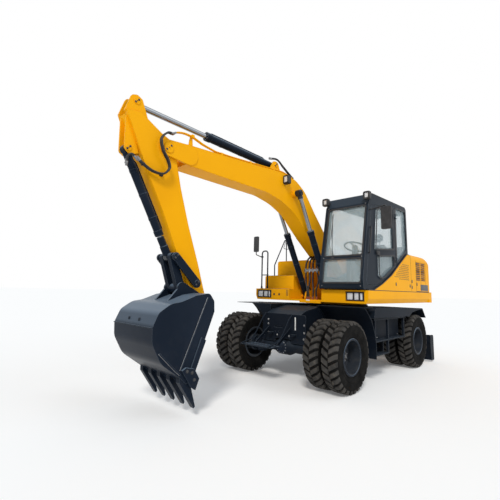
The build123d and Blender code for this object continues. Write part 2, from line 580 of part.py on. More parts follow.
def counterweight():
    """Cast counterweight wrapping the tail: wide foot, and an upper part going on from the hood's slope."""
    foot = block((TAIL_REAR, DECK_REAR - SEAT_GAP), (-SIDE_REACH, SIDE_REACH), (DECK_BOTTOM, TAIL_FOOT_TOP))
    foot = fillet(foot.edges().filter_by(Axis.Z).group_by(Axis.X)[0], 250)
    low = DECK_TOP + SEAT_GAP
    front = HOOD_REAR - SEAT_GAP
    side = [(front, low), (front, HOOD_BACK_Z), (-1990, 2100), (TAIL_UPPER_REAR, 1950), (TAIL_UPPER_REAR, low)]
    upper = plate(side, (-SIDE_REACH, SIDE_REACH), [0, 0, 120, 60, 0])
    plan = block((TAIL_UPPER_REAR, front), (-HOOD_RIGHT_Y, HOOD_LEFT_Y), (low, HOOD_TOP))
    plan = fillet(plan.edges().filter_by(Axis.Z).group_by(Axis.X)[0], 240)
    return foot + (upper & plan & hood_section((TAIL_REAR, front), 2, HOOD_ROUND - 2))


def hood():
    """Rear bodywork: hood over the engine and the left wing that sweeps down beside the cab."""
    low = DECK_TOP + SEAT_GAP
    slope = [(HOOD_FRONT, low), (HOOD_FRONT, HOOD_TOP), (-1680, HOOD_TOP), (HOOD_REAR, HOOD_BACK_Z), (HOOD_REAR, low)]
    body = plate(slope, (-SIDE_REACH, SIDE_REACH)) & hood_section((HOOD_REAR, HOOD_FRONT), 0, HOOD_ROUND)
    inner = [(x + (HOOD_WALL if x < -1700 else 0), z - HOOD_WALL) for x, z in slope[1:4]]
    inner = [(HOOD_FRONT, low), *inner, (HOOD_REAR + HOOD_WALL, low)]
    room = hood_section((HOOD_REAR, HOOD_FRONT - HOOD_WALL), HOOD_WALL, HOOD_ROUND - HOOD_WALL)
    body -= plate(inner, (-SIDE_REACH, SIDE_REACH)) & room
    for x in LOUVRE_COLUMNS:
        body -= block(x, (HOOD_LEFT_Y - HOOD_WALL - 10, HOOD_LEFT_Y + 1), LOUVRE_Z)
        body -= block(x, (-HOOD_RIGHT_Y - 1, HOOD_WALL + 10 - HOOD_RIGHT_Y), LOUVRE_Z)
    wing = [(HOOD_FRONT, low), (HOOD_FRONT, 2275), (-620, 2275), (-214, 2050), (197, 1812), (612, 1640), (960, 1528),
            (960, low)]
    return body + plate(wing, (CAB_OUTER_Y + 3, HOOD_LEFT_Y), [0, 0, 60, 0, 300, 300, 0, 0])


def hood_louvres():
    """Louvred doors in the hood's sides: a plate in each window, with slots slanting down to the outside."""
    panels = []
    z = (LOUVRE_Z[0] + SEAT_GAP, LOUVRE_Z[1] - SEAT_GAP)
    for face, side in ((HOOD_LEFT_Y, 1), (HOOD_RIGHT_Y, -1)):
        outer, inner = face - 4, face - 4 - LOUVRE_PLATE
        for x in LOUVRE_COLUMNS:
            panel = block((x[0] + SEAT_GAP, x[1] - SEAT_GAP), (inner, outer), z)
            for row in range(LOUVRE_ROWS):
                low = LOUVRE_Z[0] + 35 + row * LOUVRE_PITCH
                slot = [(outer + 1, low), (outer + 1, low + LOUVRE_SLOT), (inner - 1, low + LOUVRE_SLOT + 24),
                        (inner - 1, low + 24)]
                panel -= cross_plate(slot, (x[0] + 22, x[1] - 22))
            panels.append(panel if side > 0 else mirror(panel, about=Plane.XZ))
    return panels


def right_body():
    """Right side: tank and tool boxes beside the boom."""
    inner_y = -CHANNEL_HALF_WIDTH - 35
    low = block((-760, TANK_FRONT), (-SIDE_REACH + 10, inner_y), (DECK_TOP + SEAT_GAP, TANK_TOP))
    low = fillet(low.edges().filter_by(Axis.X).group_by(Axis.Z)[-1], 50)
    step = block((TANK_FRONT, 1000), (-SIDE_REACH + 60, inner_y - 25), (DECK_TOP + SEAT_GAP, 1800))
    return low + fillet(step.edges().group_by(Axis.Z)[-1], 30)


def engine_block():
    """Engine as one plain block behind the slew axis."""
    return block((-1500, -850), (-500, 450), (DECK_TOP + SEAT_GAP, 2150))


# ---- cab ----
CAB_SIDE = [(1300, CAB_BASE), (1325, 1690), (1055, 3040), (930, 3235), (-640, 3275), (-700, 3230), (-745, CAB_BASE)]
CAB_FLOOR = 40.0
CAB_INSIDE = [(1245, CAB_BASE + CAB_FLOOR), (1270, 1690), (1003, 3020), (900, 3182), (-640, 3222),
              (-690, CAB_BASE + CAB_FLOOR)]
DOOR_GAP = 8.0
DOOR_HINGE_X = -60.0
DOOR_HINGE_Y = CAB_OUTER_Y + 20.0
HINGE_PIN = 7.0
HINGE_LEVELS = (2125.0, 2980.0)
DOOR_OUTLINE = [(1180, 1620), (1188, 1700), (950, 3010), (DOOR_HINGE_X, 3175), (DOOR_HINGE_X, 2005), (197, 1855),
                (612, 1675), (780, 1620)]
DOOR_WINDOWS = ([(865, 2235), (770, 2985), (50, 3115), (50, 2315)],
                [(745, 2130), (40, 2198), (40, 1990), (500, 1775), (640, 1740), (745, 1790)])
LEFT_WINDOW = [(-125, 2065), (-125, 3165), (-640, 3185), (-665, 2440), (-600, 2340)]
RIGHT_WINDOW = [(1130, 1750), (905, 3010), (800, 3130), (-560, 3150), (-600, 2100), (700, 1750)]
SCREEN_Y = (CAB_INNER_Y + 75, CAB_OUTER_Y - 45)
UPPER_SCREEN = (2110.0, 3000.0)
LOWER_SCREEN = (1640.0, 2055.0)
REAR_WINDOW_Y = (CAB_INNER_Y + 90, CAB_OUTER_Y - 90)
REAR_WINDOW_Z = (2450.0, 3120.0)


def side_sheet(outline, y, reach=0, corner=0):
    """Plate from an outline drawn in side view, shrunk by a reach and with rounded corners."""
    face = make_face(Polyline(*outline, close=True))
    if reach:
        face = offset(face, amount=-reach, kind=Kind.INTERSECTION)
    if corner:
        face = fillet(face.vertices(), corner)
    upright = Plane.XZ.offset(-y[0]) * face
    return extrude(upright, amount=-(y[1] - y[0]))


def frame_hinges():
    """Fixed halves of the door hinges: a leaf, two lugs and the pin between them."""
    halves = []
    for z in HINGE_LEVELS:
        half = block((DOOR_HINGE_X - 60, DOOR_HINGE_X - 20), (CAB_OUTER_Y, CAB_OUTER_Y + 12), (z - 42, z + 42))
        for low in (z - 42, z + 32):
            half += block((DOOR_HINGE_X - 60, DOOR_HINGE_X - 8), (CAB_OUTER_Y, DOOR_HINGE_Y + 14), (low, low + 10))
            half += Pos(DOOR_HINGE_X, DOOR_HINGE_Y, low + 5) * Cylinder(14, 10)
        halves.append(half + Pos(DOOR_HINGE_X, DOOR_HINGE_Y, z) * Cylinder(HINGE_PIN, 84))
    return halves


def door_hinges():
    """Moving halves of the door hinges: a leaf and a bored barrel."""
    halves = []
    for z in HINGE_LEVELS:
        half = block((DOOR_HINGE_X, DOOR_HINGE_X + 60), (CAB_OUTER_Y, CAB_OUTER_Y + 12), (z - 27, z + 27))
        half += Pos(DOOR_HINGE_X, DOOR_HINGE_Y, z) * Cylinder(14, 54)
        halves.append(half - Pos(DOOR_HINGE_X, DOOR_HINGE_Y, z) * Cylinder(HINGE_PIN + RUNNING_GAP, 100))
    return halves


def cab_frame():
    """Cab shell: floor, pillars, roof, rear and right walls with the window openings and the door way cut."""
    shell = plate(CAB_SIDE, (CAB_INNER_Y, CAB_OUTER_Y), [20, 60, 60, 60, 40, 60, 20])
    shell -= plate(CAB_INSIDE, (CAB_INNER_Y + CAB_WALL, CAB_OUTER_Y - CAB_WALL))
    shell -= side_sheet(DOOR_OUTLINE, (CAB_OUTER_Y - CAB_WALL - 20, CAB_OUTER_Y + 1), -DOOR_GAP)
    shell -= side_sheet(LEFT_WINDOW, (CAB_OUTER_Y - CAB_WALL - 10, CAB_OUTER_Y + 1), 0, 20)
    shell -= side_sheet(RIGHT_WINDOW, (CAB_INNER_Y - 1, CAB_INNER_Y + CAB_WALL + 10), 0, 30)
    for low, high in (UPPER_SCREEN, LOWER_SCREEN):
        opening = [(front_x(low) - 120, low), (front_x(low) + 60, low), (front_x(high) + 60, high),
                   (front_x(high) - 120, high)]
        shell -= plate(opening, SCREEN_Y)
    shell -= block((-800, -600), REAR_WINDOW_Y, REAR_WINDOW_Z)
    for half in frame_hinges():
        shell += half
    return shell


def front_x(z):
    """X of the cab's outer front face at a height."""
    (x_low, z_low), (x_high, z_high) = CAB_SIDE[1:3]
    return x_low + (z - z_low) * (x_high - x_low) / (z_high - z_low)


def front_pane(z_pair):
    """Pane leaning with the cab's front, in the middle of its thickness."""
    low, high = z_pair[0] + SEAT_GAP, z_pair[1] - SEAT_GAP
    corners = [(front_x(low) - 31, low), (front_x(low) - 31 + GLASS, low),
               (front_x(high) - 31 + GLASS, high), (front_x(high) - 31, high)]
    return plate(corners, (SCREEN_Y[0] + SEAT_GAP, SCREEN_Y[1] - SEAT_GAP))


def cab_glass():
    """Fixed panes: two in front, one at each side and one behind."""
    left = side_sheet(LEFT_WINDOW, (CAB_OUTER_Y - 28, CAB_OUTER_Y - 28 + GLASS), SEAT_GAP, 20)
    right = side_sheet(RIGHT_WINDOW, (CAB_INNER_Y + 22, CAB_INNER_Y + 22 + GLASS), SEAT_GAP, 30)
    rear = block((-695, -695 + GLASS), (REAR_WINDOW_Y[0] + SEAT_GAP, REAR_WINDOW_Y[1] - SEAT_GAP),
                 (REAR_WINDOW_Z[0] + SEAT_GAP, REAR_WINDOW_Z[1] - SEAT_GAP))
    return [front_pane(UPPER_SCREEN), front_pane(LOWER_SCREEN), left, right, rear]


def door_glass():
    """Panes of the door's upper and lower windows."""
    place = (CAB_OUTER_Y - 26, CAB_OUTER_Y - 26 + GLASS)
    return [side_sheet(outline, place, SEAT_GAP, 15) for outline in DOOR_WINDOWS]


def cab_door():
    """Door frame with its two window openings."""
    door = side_sheet(DOOR_OUTLINE, (CAB_OUTER_Y - 45, CAB_OUTER_Y), 0, 12)
    for outline in DOOR_WINDOWS:
        door -= side_sheet(outline, (CAB_OUTER_Y - 60, CAB_OUTER_Y + 10), 0, 15)
    for half in door_hinges():
        door += half
    return door


def seat():
    """Operator's seat: base, cushion and back."""
    middle = (CAB_INNER_Y + CAB_OUTER_Y) / 2
    base = block((-150, 250), (middle - 180, middle + 180), (CAB_BASE + CAB_FLOOR + SEAT_GAP, 1900))
    cushion = block((-200, 330), (middle - 250, middle + 250), (1900, 2020))
    back = plate([(-200, 2020), (-60, 2020), (-180, 2700), (-290, 2700)], (middle - 230, middle + 230), 40)
    return base + cushion + back


def controls():
    """Steering column with its wheel, and the two side consoles."""
    middle = (CAB_INNER_Y + CAB_OUTER_Y) / 2
    column = strut((900, middle, CAB_BASE + 60), (760, middle, 2300), 45)
    column += block((820, 980), (middle - 70, middle + 70), (CAB_BASE + CAB_FLOOR + SEAT_GAP, CAB_BASE + 90))
    place = Plane(origin=(755, middle, 2320), z_dir=(-0.35, 0, 0.94))
    wheel = place * Torus(190, 16)
    spokes = place * Box(370, 30, 14) + place * Cylinder(50, 40)
    height = (CAB_BASE + CAB_FLOOR + SEAT_GAP, 2150)
    left, right = CAB_OUTER_Y - CONSOLE_INSET, CAB_INNER_Y + CONSOLE_INSET
    console = block((-120, 420), (left - CONSOLE_WIDTH, left), height)
    other = block((-120, 420), (right, right + CONSOLE_WIDTH), height)
    return [column + wheel + spokes, console, other]


def mirrors():
    """Cab mirror on its arm at the left front pillar, and the right mirror on its post."""
    glasses = []
    for y, z in (((1490, 1660), (2510, 2880)), ((-1360, -1230), (2310, 2650))):
        case = block((1185, 1215), y, z)
        case = fillet(case.edges().filter_by(Axis.X), 25)
        glasses.append(case)
    arm_z = 2910
    glasses[0] += bent_bar([(1050, CAB_OUTER_Y + SEAT_GAP, arm_z), (1050, 1300, arm_z), (1200, 1575, arm_z),
                            (1200, 1575, 2850)], 40, 10)
    post = [(1200, -1295, 2350), (1200, -1295, 2250), (1200, HOOP_Y, 2200),
            (RAIL_X + RAIL_RADIUS + SEAT_GAP, HOOP_Y, 2200)]
    glasses[1] += bent_bar(post, 25, 10)
    return glasses


def lamps():
    """Work lamps on the cab roof's front slope and the lamp boxes sunk in the platform's front."""
    (low_x, low_z), (high_x, high_z) = CAB_SIDE[2:4]
    run = hypot(high_x - low_x, high_z - low_z)
    out = ((high_z - low_z) / run * SEAT_GAP, (low_x - high_x) / run * SEAT_GAP)
    seat_line = [(low_x + (high_x - low_x) * share + out[0], low_z + (high_z - low_z) * share + out[1])
                 for share in (0.3, 0.6)]
    housings = []
    for inner, side in ((CAB_INNER_Y - 37, 1), (CAB_OUTER_Y + 55, -1)):
        y = sorted((inner, inner + side * 120))
        foot_y = sorted((inner + side * 65, inner + side * 95))
        lamp = block((1062, 1125), y, (3085, 3225))
        lamp = fillet(lamp.edges().filter_by(Axis.X), 18)
        housings.append(lamp + plate([*seat_line, (1066, 3205), (1066, 3120)], foot_y))
    for y in DECK_LAMPS:
        housings.append(block((DECK_FRONT - LAMP_RECESS + SEAT_GAP, DECK_FRONT - 8), y, (1345, 1490)))
    return housings


def boom_lamp():
    """Work lamp on its bracket at the boom's left face."""
    left = BOOM_HALF_WIDTH + SEAT_GAP
    case = block((2010, 2090), (left, left + 110), (3330, 3480))
    return fillet(case.edges().filter_by(Axis.X), 20)


def handrails():
    """Right front handrail hoop and the slanted guard rail beside the tool box."""
    low = DECK_TOP + SEAT_GAP
    hoop = [(RAIL_X, HOOP_Y, low), (RAIL_X, HOOP_Y, 2320), (RAIL_X, HOOP_Y + 160, 2320), (RAIL_X, HOOP_Y + 160, low)]
    guard = [(665, GUARD_Y, low), (665, GUARD_Y, 2060), (300, GUARD_Y, 2670), (240, GUARD_Y, 2670),
             (240, GUARD_Y, TANK_TOP)]
    return [bent_bar(hoop, 60, RAIL_RADIUS), bent_bar(guard, 40, 12)]


# ---- boom ----
BOOM_SIDE = [(110, 1665), (1381, 2560), (1760, 2870), (2120, 3015), (2500, 3085), (4130, 3090), (4130, 3368),
             (3183, 3440), (2101, 3532), (1720, 3485), (1440, 3330), (1122, 2985), (0, 1835)]


def boom_top(x):
    """Height of the boom's top plate on its long straight stretches."""
    bends = BOOM_SIDE[6:9]
    far, near = (bends[0], bends[1]) if x > bends[1][0] else (bends[1], bends[2])
    return near[1] + (x - near[0]) * (far[1] - near[1]) / (far[0] - near[0])


def boom_pipes():
    """Two steel pipes along the boom's top plate, joined by their clamps."""
    pipes = None
    for y in (108, 134):
        route = [(1790, y, 3516), (2101, y, boom_top(2101) + 22), (4080, y, boom_top(4080) + 22)]
        pipe = bent_bar(route, 400, 9)
        pipes = pipe if pipes is None else pipes + pipe
    for x in (2330, 2900, 3500, 4000):
        foot = [(x - 18, boom_top(x - 18) + SEAT_GAP), (x + 18, boom_top(x + 18) + SEAT_GAP),
                (x + 18, boom_top(x + 18) + 34), (x - 18, boom_top(x - 18) + 34)]
        pipes += plate(foot, (99, 146))
    return [pipes]


def boom():
    """Boom box with its foot tube, cylinder bosses, tip cheeks and arm-cylinder lugs."""
    body = plate(BOOM_SIDE, (-BOOM_HALF_WIDTH, BOOM_HALF_WIDTH),
                 [0, 900, 900, 900, 900, 0, 0, 200, 900, 500, 500, 900, 0])
    body += disc(BOOM_FOOT, (-BRACKET_INNER + MOVING_GAP, BRACKET_INNER - MOVING_GAP), 95)
    body -= disc(BOOM_FOOT, (-300, 300), BOOM_FOOT_PIN + RUNNING_GAP)
    for side in (1, -1):
        boss = sorted((side * BOOM_HALF_WIDTH, side * (BOOM_CYLINDER_Y - CYLINDERS["boom"]["eye_half"] - MOVING_GAP)))
        body += disc(BOOM_CYLINDER_EYE, boss, 60)
        pair = sorted((side * (BOOM_HALF_WIDTH - 22), side * (BOOM_HALF_WIDTH + 10)))
        cheek = hull_plate((ARM_PIVOT, (4080, 3230)), pair, (105, 135))
        body += cheek
        lug = sorted((side * 70, side * 95))
        body += plate([(2080, 3500), (2170, 3690), (2220, 3712), (2290, 3700), (2420, 3480)], lug, [0, 20, 20, 20, 0])
    body += disc(ARM_PIVOT, (-BOOM_HALF_WIDTH - 10, BOOM_HALF_WIDTH + 10), ARM_PIVOT_PIN)
    body += disc(ARM_CYLINDER_BASE, (-95, 95), CYLINDERS["arm"]["pin"])
    return body


# ---- arm ----
ARM_SIDE = [(3668, 1300), (3836, 1790), (4025, 2300), (4170, 2760), (4255, 3100), (4310, 3330), (4492, 3400),
            (4780, 3560), (4960, 3530), (4810, 3202), (4668, 2905), (4396, 2400), (4165, 1910), (3960, 1500),
            (3820, 1250)]


def arm():
    """Arm box with its pivot tube, top ears, bucket-cylinder ears and tip tube."""
    body = plate(ARM_SIDE, (-ARM_HALF_WIDTH, ARM_HALF_WIDTH))
    body += disc(ARM_PIVOT, (-ARM_HALF_WIDTH - 2, ARM_HALF_WIDTH + 2), 95)
    body += disc(BUCKET_PIVOT, (-ARM_HALF_WIDTH, ARM_HALF_WIDTH), 82)
    for side in (1, -1):
        ear = sorted((side * 60, side * 92))
        body += plate([(4640, 3440), (4760, 3740), (4830, 3775), (4900, 3750), (4975, 3520)], ear, [0, 40, 40, 40, 0])
        low_ear = sorted((side * 56, side * 84))
        base_ear = [(4900, 3500), (4945, 3480), (4935, 3080), (4880, 3030), (4800, 3040), (4760, 3060)]
        body += plate(base_ear, low_ear, [0, 20, 30, 30, 0, 0])
    body -= plate([(4560, 3505), (4990, 3505), (4990, 3700), (4560, 3700)], (-ARM_SLOT, ARM_SLOT))
    body -= disc(ARM_PIVOT, (-300, 300), ARM_PIVOT_PIN + RUNNING_GAP)
    body -= disc(IDLER_PIVOT, (-300, 300), IDLER_PIN + RUNNING_GAP)
    body += disc(BUCKET_CYLINDER_BASE, (-84, 84), CYLINDERS["bucket"]["pin"])
    return body + disc(BUCKET_PIVOT, (-ARM_HALF_WIDTH - 50, ARM_HALF_WIDTH + 50), BUCKET_PIVOT_PIN)


# ---- bucket and its linkage ----
BUCKET_SIDE = [(3800, 1200), (3808, 1330), (3885, 1425), (4085, 1395), (4294, 1320), (4430, 1300), (4580, 1205),
               (4650, 1050), (4640, 880), (4520, 660), (4252, 470), (4180, 400), (4110, 430)]
EAR_INNER = ARM_HALF_WIDTH + 8.0


def bucket():
    """Bucket shell with side plates, lip, cutters, teeth and hinge ears."""
    rounds = [20, 60, 60, 0, 300, 200, 120, 150, 180, 250, 0, 0, 0]
    outer = plate(BUCKET_SIDE, (-BUCKET_HALF_WIDTH, BUCKET_HALF_WIDTH), rounds)
    hollow = [(3700, 1180), (3818, 1190), (3828, 1325), (3895, 1405), (4085, 1377), (4290, 1302), (4425, 1282),
              (4565, 1192), (4632, 1048), (4622, 885), (4506, 674), (4240, 486), (4150, 420), (3900, 600)]
    inside = plate(hollow, (-BUCKET_HALF_WIDTH + BUCKET_PLATE, BUCKET_HALF_WIDTH - BUCKET_PLATE))
    body = outer - inside
    for side in (1, -1):
        pair = sorted((side * EAR_INNER, side * (EAR_INNER + EAR_PLATE)))
        ear = hull_plate((BUCKET_PIVOT, BUCKET_LINK_PIN), pair, (85, 72))
        foot = plate([(3800, 1340), (3830, 1290), (4300, 1310), (4130, 1500)], pair)
        foot -= plate([(3780, 1200), (3808, 1330), (3885, 1424), (4085, 1394), (4350, 1300), (4350, 1200)], pair)
        body += ear + foot
        rim = sorted((side * (BUCKET_HALF_WIDTH - BUCKET_PLATE), side * (BUCKET_HALF_WIDTH + SIDE_CUTTER)))
        body += plate([(4104, 432), (4165, 470), (3992, 905), (3925, 865)], rim)
    for y in (-410, -205, 0, 205, 410):
        tooth = [(4262, 486), (4200, 520), (4130, 450), (4030, 130), (4046, 110), (4200, 330), (4262, 420)]
        body += plate(tooth, (y - 34, y + 34))
    nose = [(3700, 1300), (3800, 1170), (3880, 1250), (4010, 1460), (3900, 1500)]
    middle = (-EAR_INNER, EAR_INNER)
    core = plate([(3808, 1190), (3920, 1190), (4100, 1330), (4100, 1390), (3885, 1422), (3810, 1330)], middle)
    body += core
    body -= plate(nose, middle)
    body -= disc(BUCKET_PIVOT, middle, 104)
    body -= disc(BUCKET_PIVOT, (-300, 300), BUCKET_PIVOT_PIN + RUNNING_GAP)
    return body


def idler_links():
    """Two idler links on a pin through the arm, each with its half of the link pin."""
    outer = EAR_INNER + EAR_PLATE + MOVING_GAP
    body = disc(IDLER_PIVOT, (-outer - 28, outer + 28), IDLER_PIN)
    for side in (1, -1):
        pair = sorted((side * outer, side * (outer + 28)))
        link = hull_plate((IDLER_PIVOT, LINK_PIN), pair, (58, 50))
        body += link + disc(LINK_PIN, sorted((side * 46, side * (outer + 28))), LINK_PIN_RADIUS)
    return body


def bucket_link():
    """Two side plates joined by the lower pin tube, between the link pin and the bucket's ears."""
    body = disc(BUCKET_LINK_PIN, (-EAR_INNER + MOVING_GAP, EAR_INNER - MOVING_GAP), 55)
    for side in (1, -1):
        pair = sorted((side * 58, side * (EAR_INNER - MOVING_GAP)))
        body += hull_plate((LINK_PIN, BUCKET_LINK_PIN), pair, (50, 55))
    for side in (1, -1):
        pair = (-200, -40) if side < 0 else (40, 200)
        body -= disc(LINK_PIN, pair, LINK_PIN_RADIUS + RUNNING_GAP)
    return body


nodes = {
    "chassis_frame": [chassis_frame()],
    "front_axle": [front_axle()],
    "rear_axle": [rear_axle()],
    "prop_shaft": [prop_shaft()],
    "fenders": fenders(),
    "side_steps": side_steps(),
    "front_step": front_step(),
    "dozer_blade": [dozer_blade()],
    "knuckle_left": [knuckle()],
    "knuckle_right": [mirror(knuckle(), about=Plane.XZ)],
    "steering_rod": [steering_rod()],
    "deck": [deck()],
    "counterweight": [counterweight()],
    "hood": [hood()],
    "hood_louvres": hood_louvres(),
    "right_body": [right_body()],
    "engine": [engine_block()],
    "cab_frame": [cab_frame()],
    "cab_door": [cab_door()],
    "cab_glass": cab_glass(),
    "door_glass": door_glass(),
    "mirrors": mirrors(),
    "lamps": lamps(),
    "boom_pipes": boom_pipes(),
    "boom_lamp": [boom_lamp()],
    "seat": [seat()],
    "controls": controls(),
    "handrails": handrails(),
    "boom": [boom()],
    "arm": [arm()],
    "bucket": [bucket()],
    "idler_links": [idler_links()],
    "bucket_link": [bucket_link()],
}
# cylinder name, base pin, rod eye, distance off the middle
CYLINDER_PLACES = [("boom", BOOM_CYLINDER_BASE, BOOM_CYLINDER_EYE, BOOM_CYLINDER_Y),
                   ("arm", ARM_CYLINDER_BASE, ARM_CYLINDER_EYE, 0),
                   ("bucket", BUCKET_CYLINDER_BASE, LINK_PIN, 0),
                   ("blade", BLADE_CYLINDER_PIN, BLADE_ROD_PIN, BLADE_CYLINDER_Y)]
for name, base, eye, offset in CYLINDER_PLACES:
    for piece, shape in (("barrel", barrel), ("rod", piston_rod)):
        solid = shape(base, eye, CYLINDERS[name], offset)
        if offset:
            nodes[f"{name}_cylinder_{piece}s"] = mirrored(solid)
        else:
            nodes[f"{name}_cylinder_{piece}"] = [solid]
for name, axle_x in (("front", FRONT_AXLE_X), ("rear", REAR_AXLE_X)):
    tyres = [tyre(axle_x, y) for y in (OUTER_TYRE_Y, INNER_TYRE_Y)]
    rims = rim_pair(axle_x)
    nodes[f"tyres_{name}_left"] = tyres
    nodes[f"rims_{name}_left"] = [rims]
    nodes[f"tyres_{name}_right"] = [mirror(piece, about=Plane.XZ) for piece in tyres]
    nodes[f"rims_{name}_right"] = [mirror(rims, about=Plane.XZ)]

os.makedirs("parts", exist_ok=True)
for node, solids in nodes.items():
    pieces = [solid for shape in solids for solid in shape.solids()]
    export_step(Compound(label=node, children=pieces), f"parts/{node}.step")
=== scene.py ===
import json
from math import cos, pi, radians, sin, tan

import bmesh
import bpy
from mathutils import Matrix, Vector


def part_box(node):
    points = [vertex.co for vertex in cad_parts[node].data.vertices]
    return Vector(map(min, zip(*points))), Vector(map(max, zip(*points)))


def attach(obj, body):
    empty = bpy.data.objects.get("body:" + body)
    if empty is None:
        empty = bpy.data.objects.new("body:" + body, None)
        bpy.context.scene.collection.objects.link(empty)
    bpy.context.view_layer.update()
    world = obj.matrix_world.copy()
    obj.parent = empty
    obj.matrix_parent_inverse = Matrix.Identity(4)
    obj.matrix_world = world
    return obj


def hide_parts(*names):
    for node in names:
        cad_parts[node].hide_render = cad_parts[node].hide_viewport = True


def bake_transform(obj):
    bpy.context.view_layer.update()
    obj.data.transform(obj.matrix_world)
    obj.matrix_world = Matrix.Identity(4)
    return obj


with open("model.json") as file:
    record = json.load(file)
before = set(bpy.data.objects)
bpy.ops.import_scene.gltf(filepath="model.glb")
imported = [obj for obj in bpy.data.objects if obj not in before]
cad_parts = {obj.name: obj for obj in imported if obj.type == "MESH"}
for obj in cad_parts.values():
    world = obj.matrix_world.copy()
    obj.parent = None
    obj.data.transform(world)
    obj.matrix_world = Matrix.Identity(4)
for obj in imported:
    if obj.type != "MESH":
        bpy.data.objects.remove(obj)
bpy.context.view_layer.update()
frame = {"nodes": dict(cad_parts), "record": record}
NODES = frame["nodes"]
JOINTS = {joint["name"]: joint for joint in frame["record"]["behaviour"]["joints"]}

# Wheeled excavator. Metres, X forward, Y left, Z up, origin on the ground under the slew axis.
DRY_DUST = (0.36, 0.31, 0.24, 1.0)
# Pale blue of the painted sky reflection on up-facing paint.
PAINTED_SKY_REFLECTION = (0.20, 0.27, 0.36, 1.0)


# ---------------------------------------------------------------- pins and cylinders
def side_view(joint):
    """A joint's pin seen from the side, as (x, z)."""
    x, _, z = JOINTS[joint]["pos_m"]
    return x, z


# pins through the eyes of the piston rods, as (x, z)
BOOM_EYE = (1.790, 3.210)
ARM_EYE = (4.830, 3.695)
BUCKET_EYE = side_view("link_turn")
BLADE_EYE = (-1.780, 0.330)


# ---------------------------------------------------------------- shader maths
class Value:
    """A number in a finish's node tree. Arithmetic on it adds Math nodes."""

    def __init__(self, finish, socket):
        self.finish, self.socket = finish, socket

    def _math(self, operation, *values):
        return self.finish.value("ShaderNodeMath", {"operation": operation}, dict(enumerate(values)))

    def __add__(self, other):
        return self._math("ADD", self, other)

    def __sub__(self, other):
        return self._math("SUBTRACT", self, other)

    def __rsub__(self, other):
        return self._math("SUBTRACT", other, self)

    def __mul__(self, other):
        return self._math("MULTIPLY", self, other)

    def __lt__(self, other):
        return self._math("LESS_THAN", self, other)

    def __gt__(self, other):
        return self._math("GREATER_THAN", self, other)

    def __abs__(self):
        return self._math("ABSOLUTE", self)

    __radd__ = __add__
    __rmul__ = __mul__

    def sine(self):
        return self._math("SINE", self)

    def ramp(self, low, high):
        """0 below low, 1 above high, smooth between."""
        return self.finish.value("ShaderNodeMapRange", {"interpolation_type": "SMOOTHSTEP", "clamp": True},
                                 {"Value": self, "From Min": low, "From Max": high})


class Finish:
    """A material being made: node() adds any node, and a value from it takes part in arithmetic."""

    def __init__(self, name, **constants):
        self.material = bpy.data.materials.new(name)
        self.material.use_nodes = True
        self.tree = self.material.node_tree
        self.shader = self.tree.nodes["Principled BSDF"]
        for key, value in constants.items():
            self.shader.inputs[key.replace("_", " ")].default_value = value
        self.place = self.node("ShaderNodeTexCoord").outputs["Object"]

    def feed(self, socket, value):
        if isinstance(value, Value):
            value = value.socket
        if isinstance(value, bpy.types.NodeSocket):
            self.tree.links.new(value, socket)
        else:
            socket.default_value = value

    def node(self, kind, settings=None, sockets=None):
        made = self.tree.nodes.new(kind)
        for key, value in (settings or {}).items():
            setattr(made, key, value)
        for key, value in (sockets or {}).items():
            self.feed(made.inputs[key], value)
        return made

    def value(self, kind, settings=None, sockets=None, output=0):
        return Value(self, self.node(kind, settings, sockets).outputs[output])

    def noise(self, scale, detail=4.0, roughness=0.55, stretch=(1, 1, 1)):
        place = self.place
        if stretch != (1, 1, 1):
            place = self.node("ShaderNodeMapping", None, {"Vector": place, "Scale": stretch}).outputs[0]
        return self.value("ShaderNodeTexNoise", None,
                          {"Vector": place, "Scale": scale, "Detail": detail, "Roughness": roughness})

    def axis(self, name):
        """One coordinate of the surface point, in metres at rest."""
        split = self.node("ShaderNodeSeparateXYZ", None, {0: self.place})
        return Value(self, split.outputs[name])

    def up(self):
        """How far the surface faces the sky, from -1 to 1."""
        normal = self.node("ShaderNodeNewGeometry").outputs["Normal"]
        return Value(self, self.node("ShaderNodeSeparateXYZ", None, {0: normal}).outputs["Z"])

    def edges(self, radius):
        """1 on sharp edges, 0 on flat metal, from the rounded normal."""
        round_normal = self.node("ShaderNodeBevel", {"samples": 4}, {"Radius": radius}).outputs[0]
        normal = self.node("ShaderNodeNewGeometry").outputs["Normal"]
        dot = self.node("ShaderNodeVectorMath", {"operation": "DOT_PRODUCT"}, {0: round_normal, 1: normal})
        return (1 - Value(self, dot.outputs["Value"])).ramp(0.02, 0.22)

    def mix(self, factor, first, second):
        """Colour between two colours."""
        made = self.node("ShaderNodeMix", {"data_type": "RGBA"})
        for socket, value in zip((made.inputs[0], made.inputs[6], made.inputs[7]), (factor, first, second)):
            self.feed(socket, value)
        return made.outputs[2]

    def bump(self, height, strength, distance, rounded=0):
        sockets = {"Height": height, "Strength": strength, "Distance": distance}
        if rounded:
            sockets["Normal"] = self.node("ShaderNodeBevel", {"samples": 4}, {"Radius": rounded}).outputs[0]
        self.feed(self.shader.inputs["Normal"], self.node("ShaderNodeBump", None, sockets).outputs[0])

    def set(self, **sockets):
        for key, value in sockets.items():
            self.feed(self.shader.inputs[key.replace("_", " ")], value)
        return self.material


def rgb(red, green, blue):
    """A solid colour as a shader socket takes it."""
    return (red, green, blue, 1.0)


def shade(colour, share):
    """The same colour lighter or darker."""
    return tuple(min(1.0, part * share) for part in colour[:3]) + (1.0,)


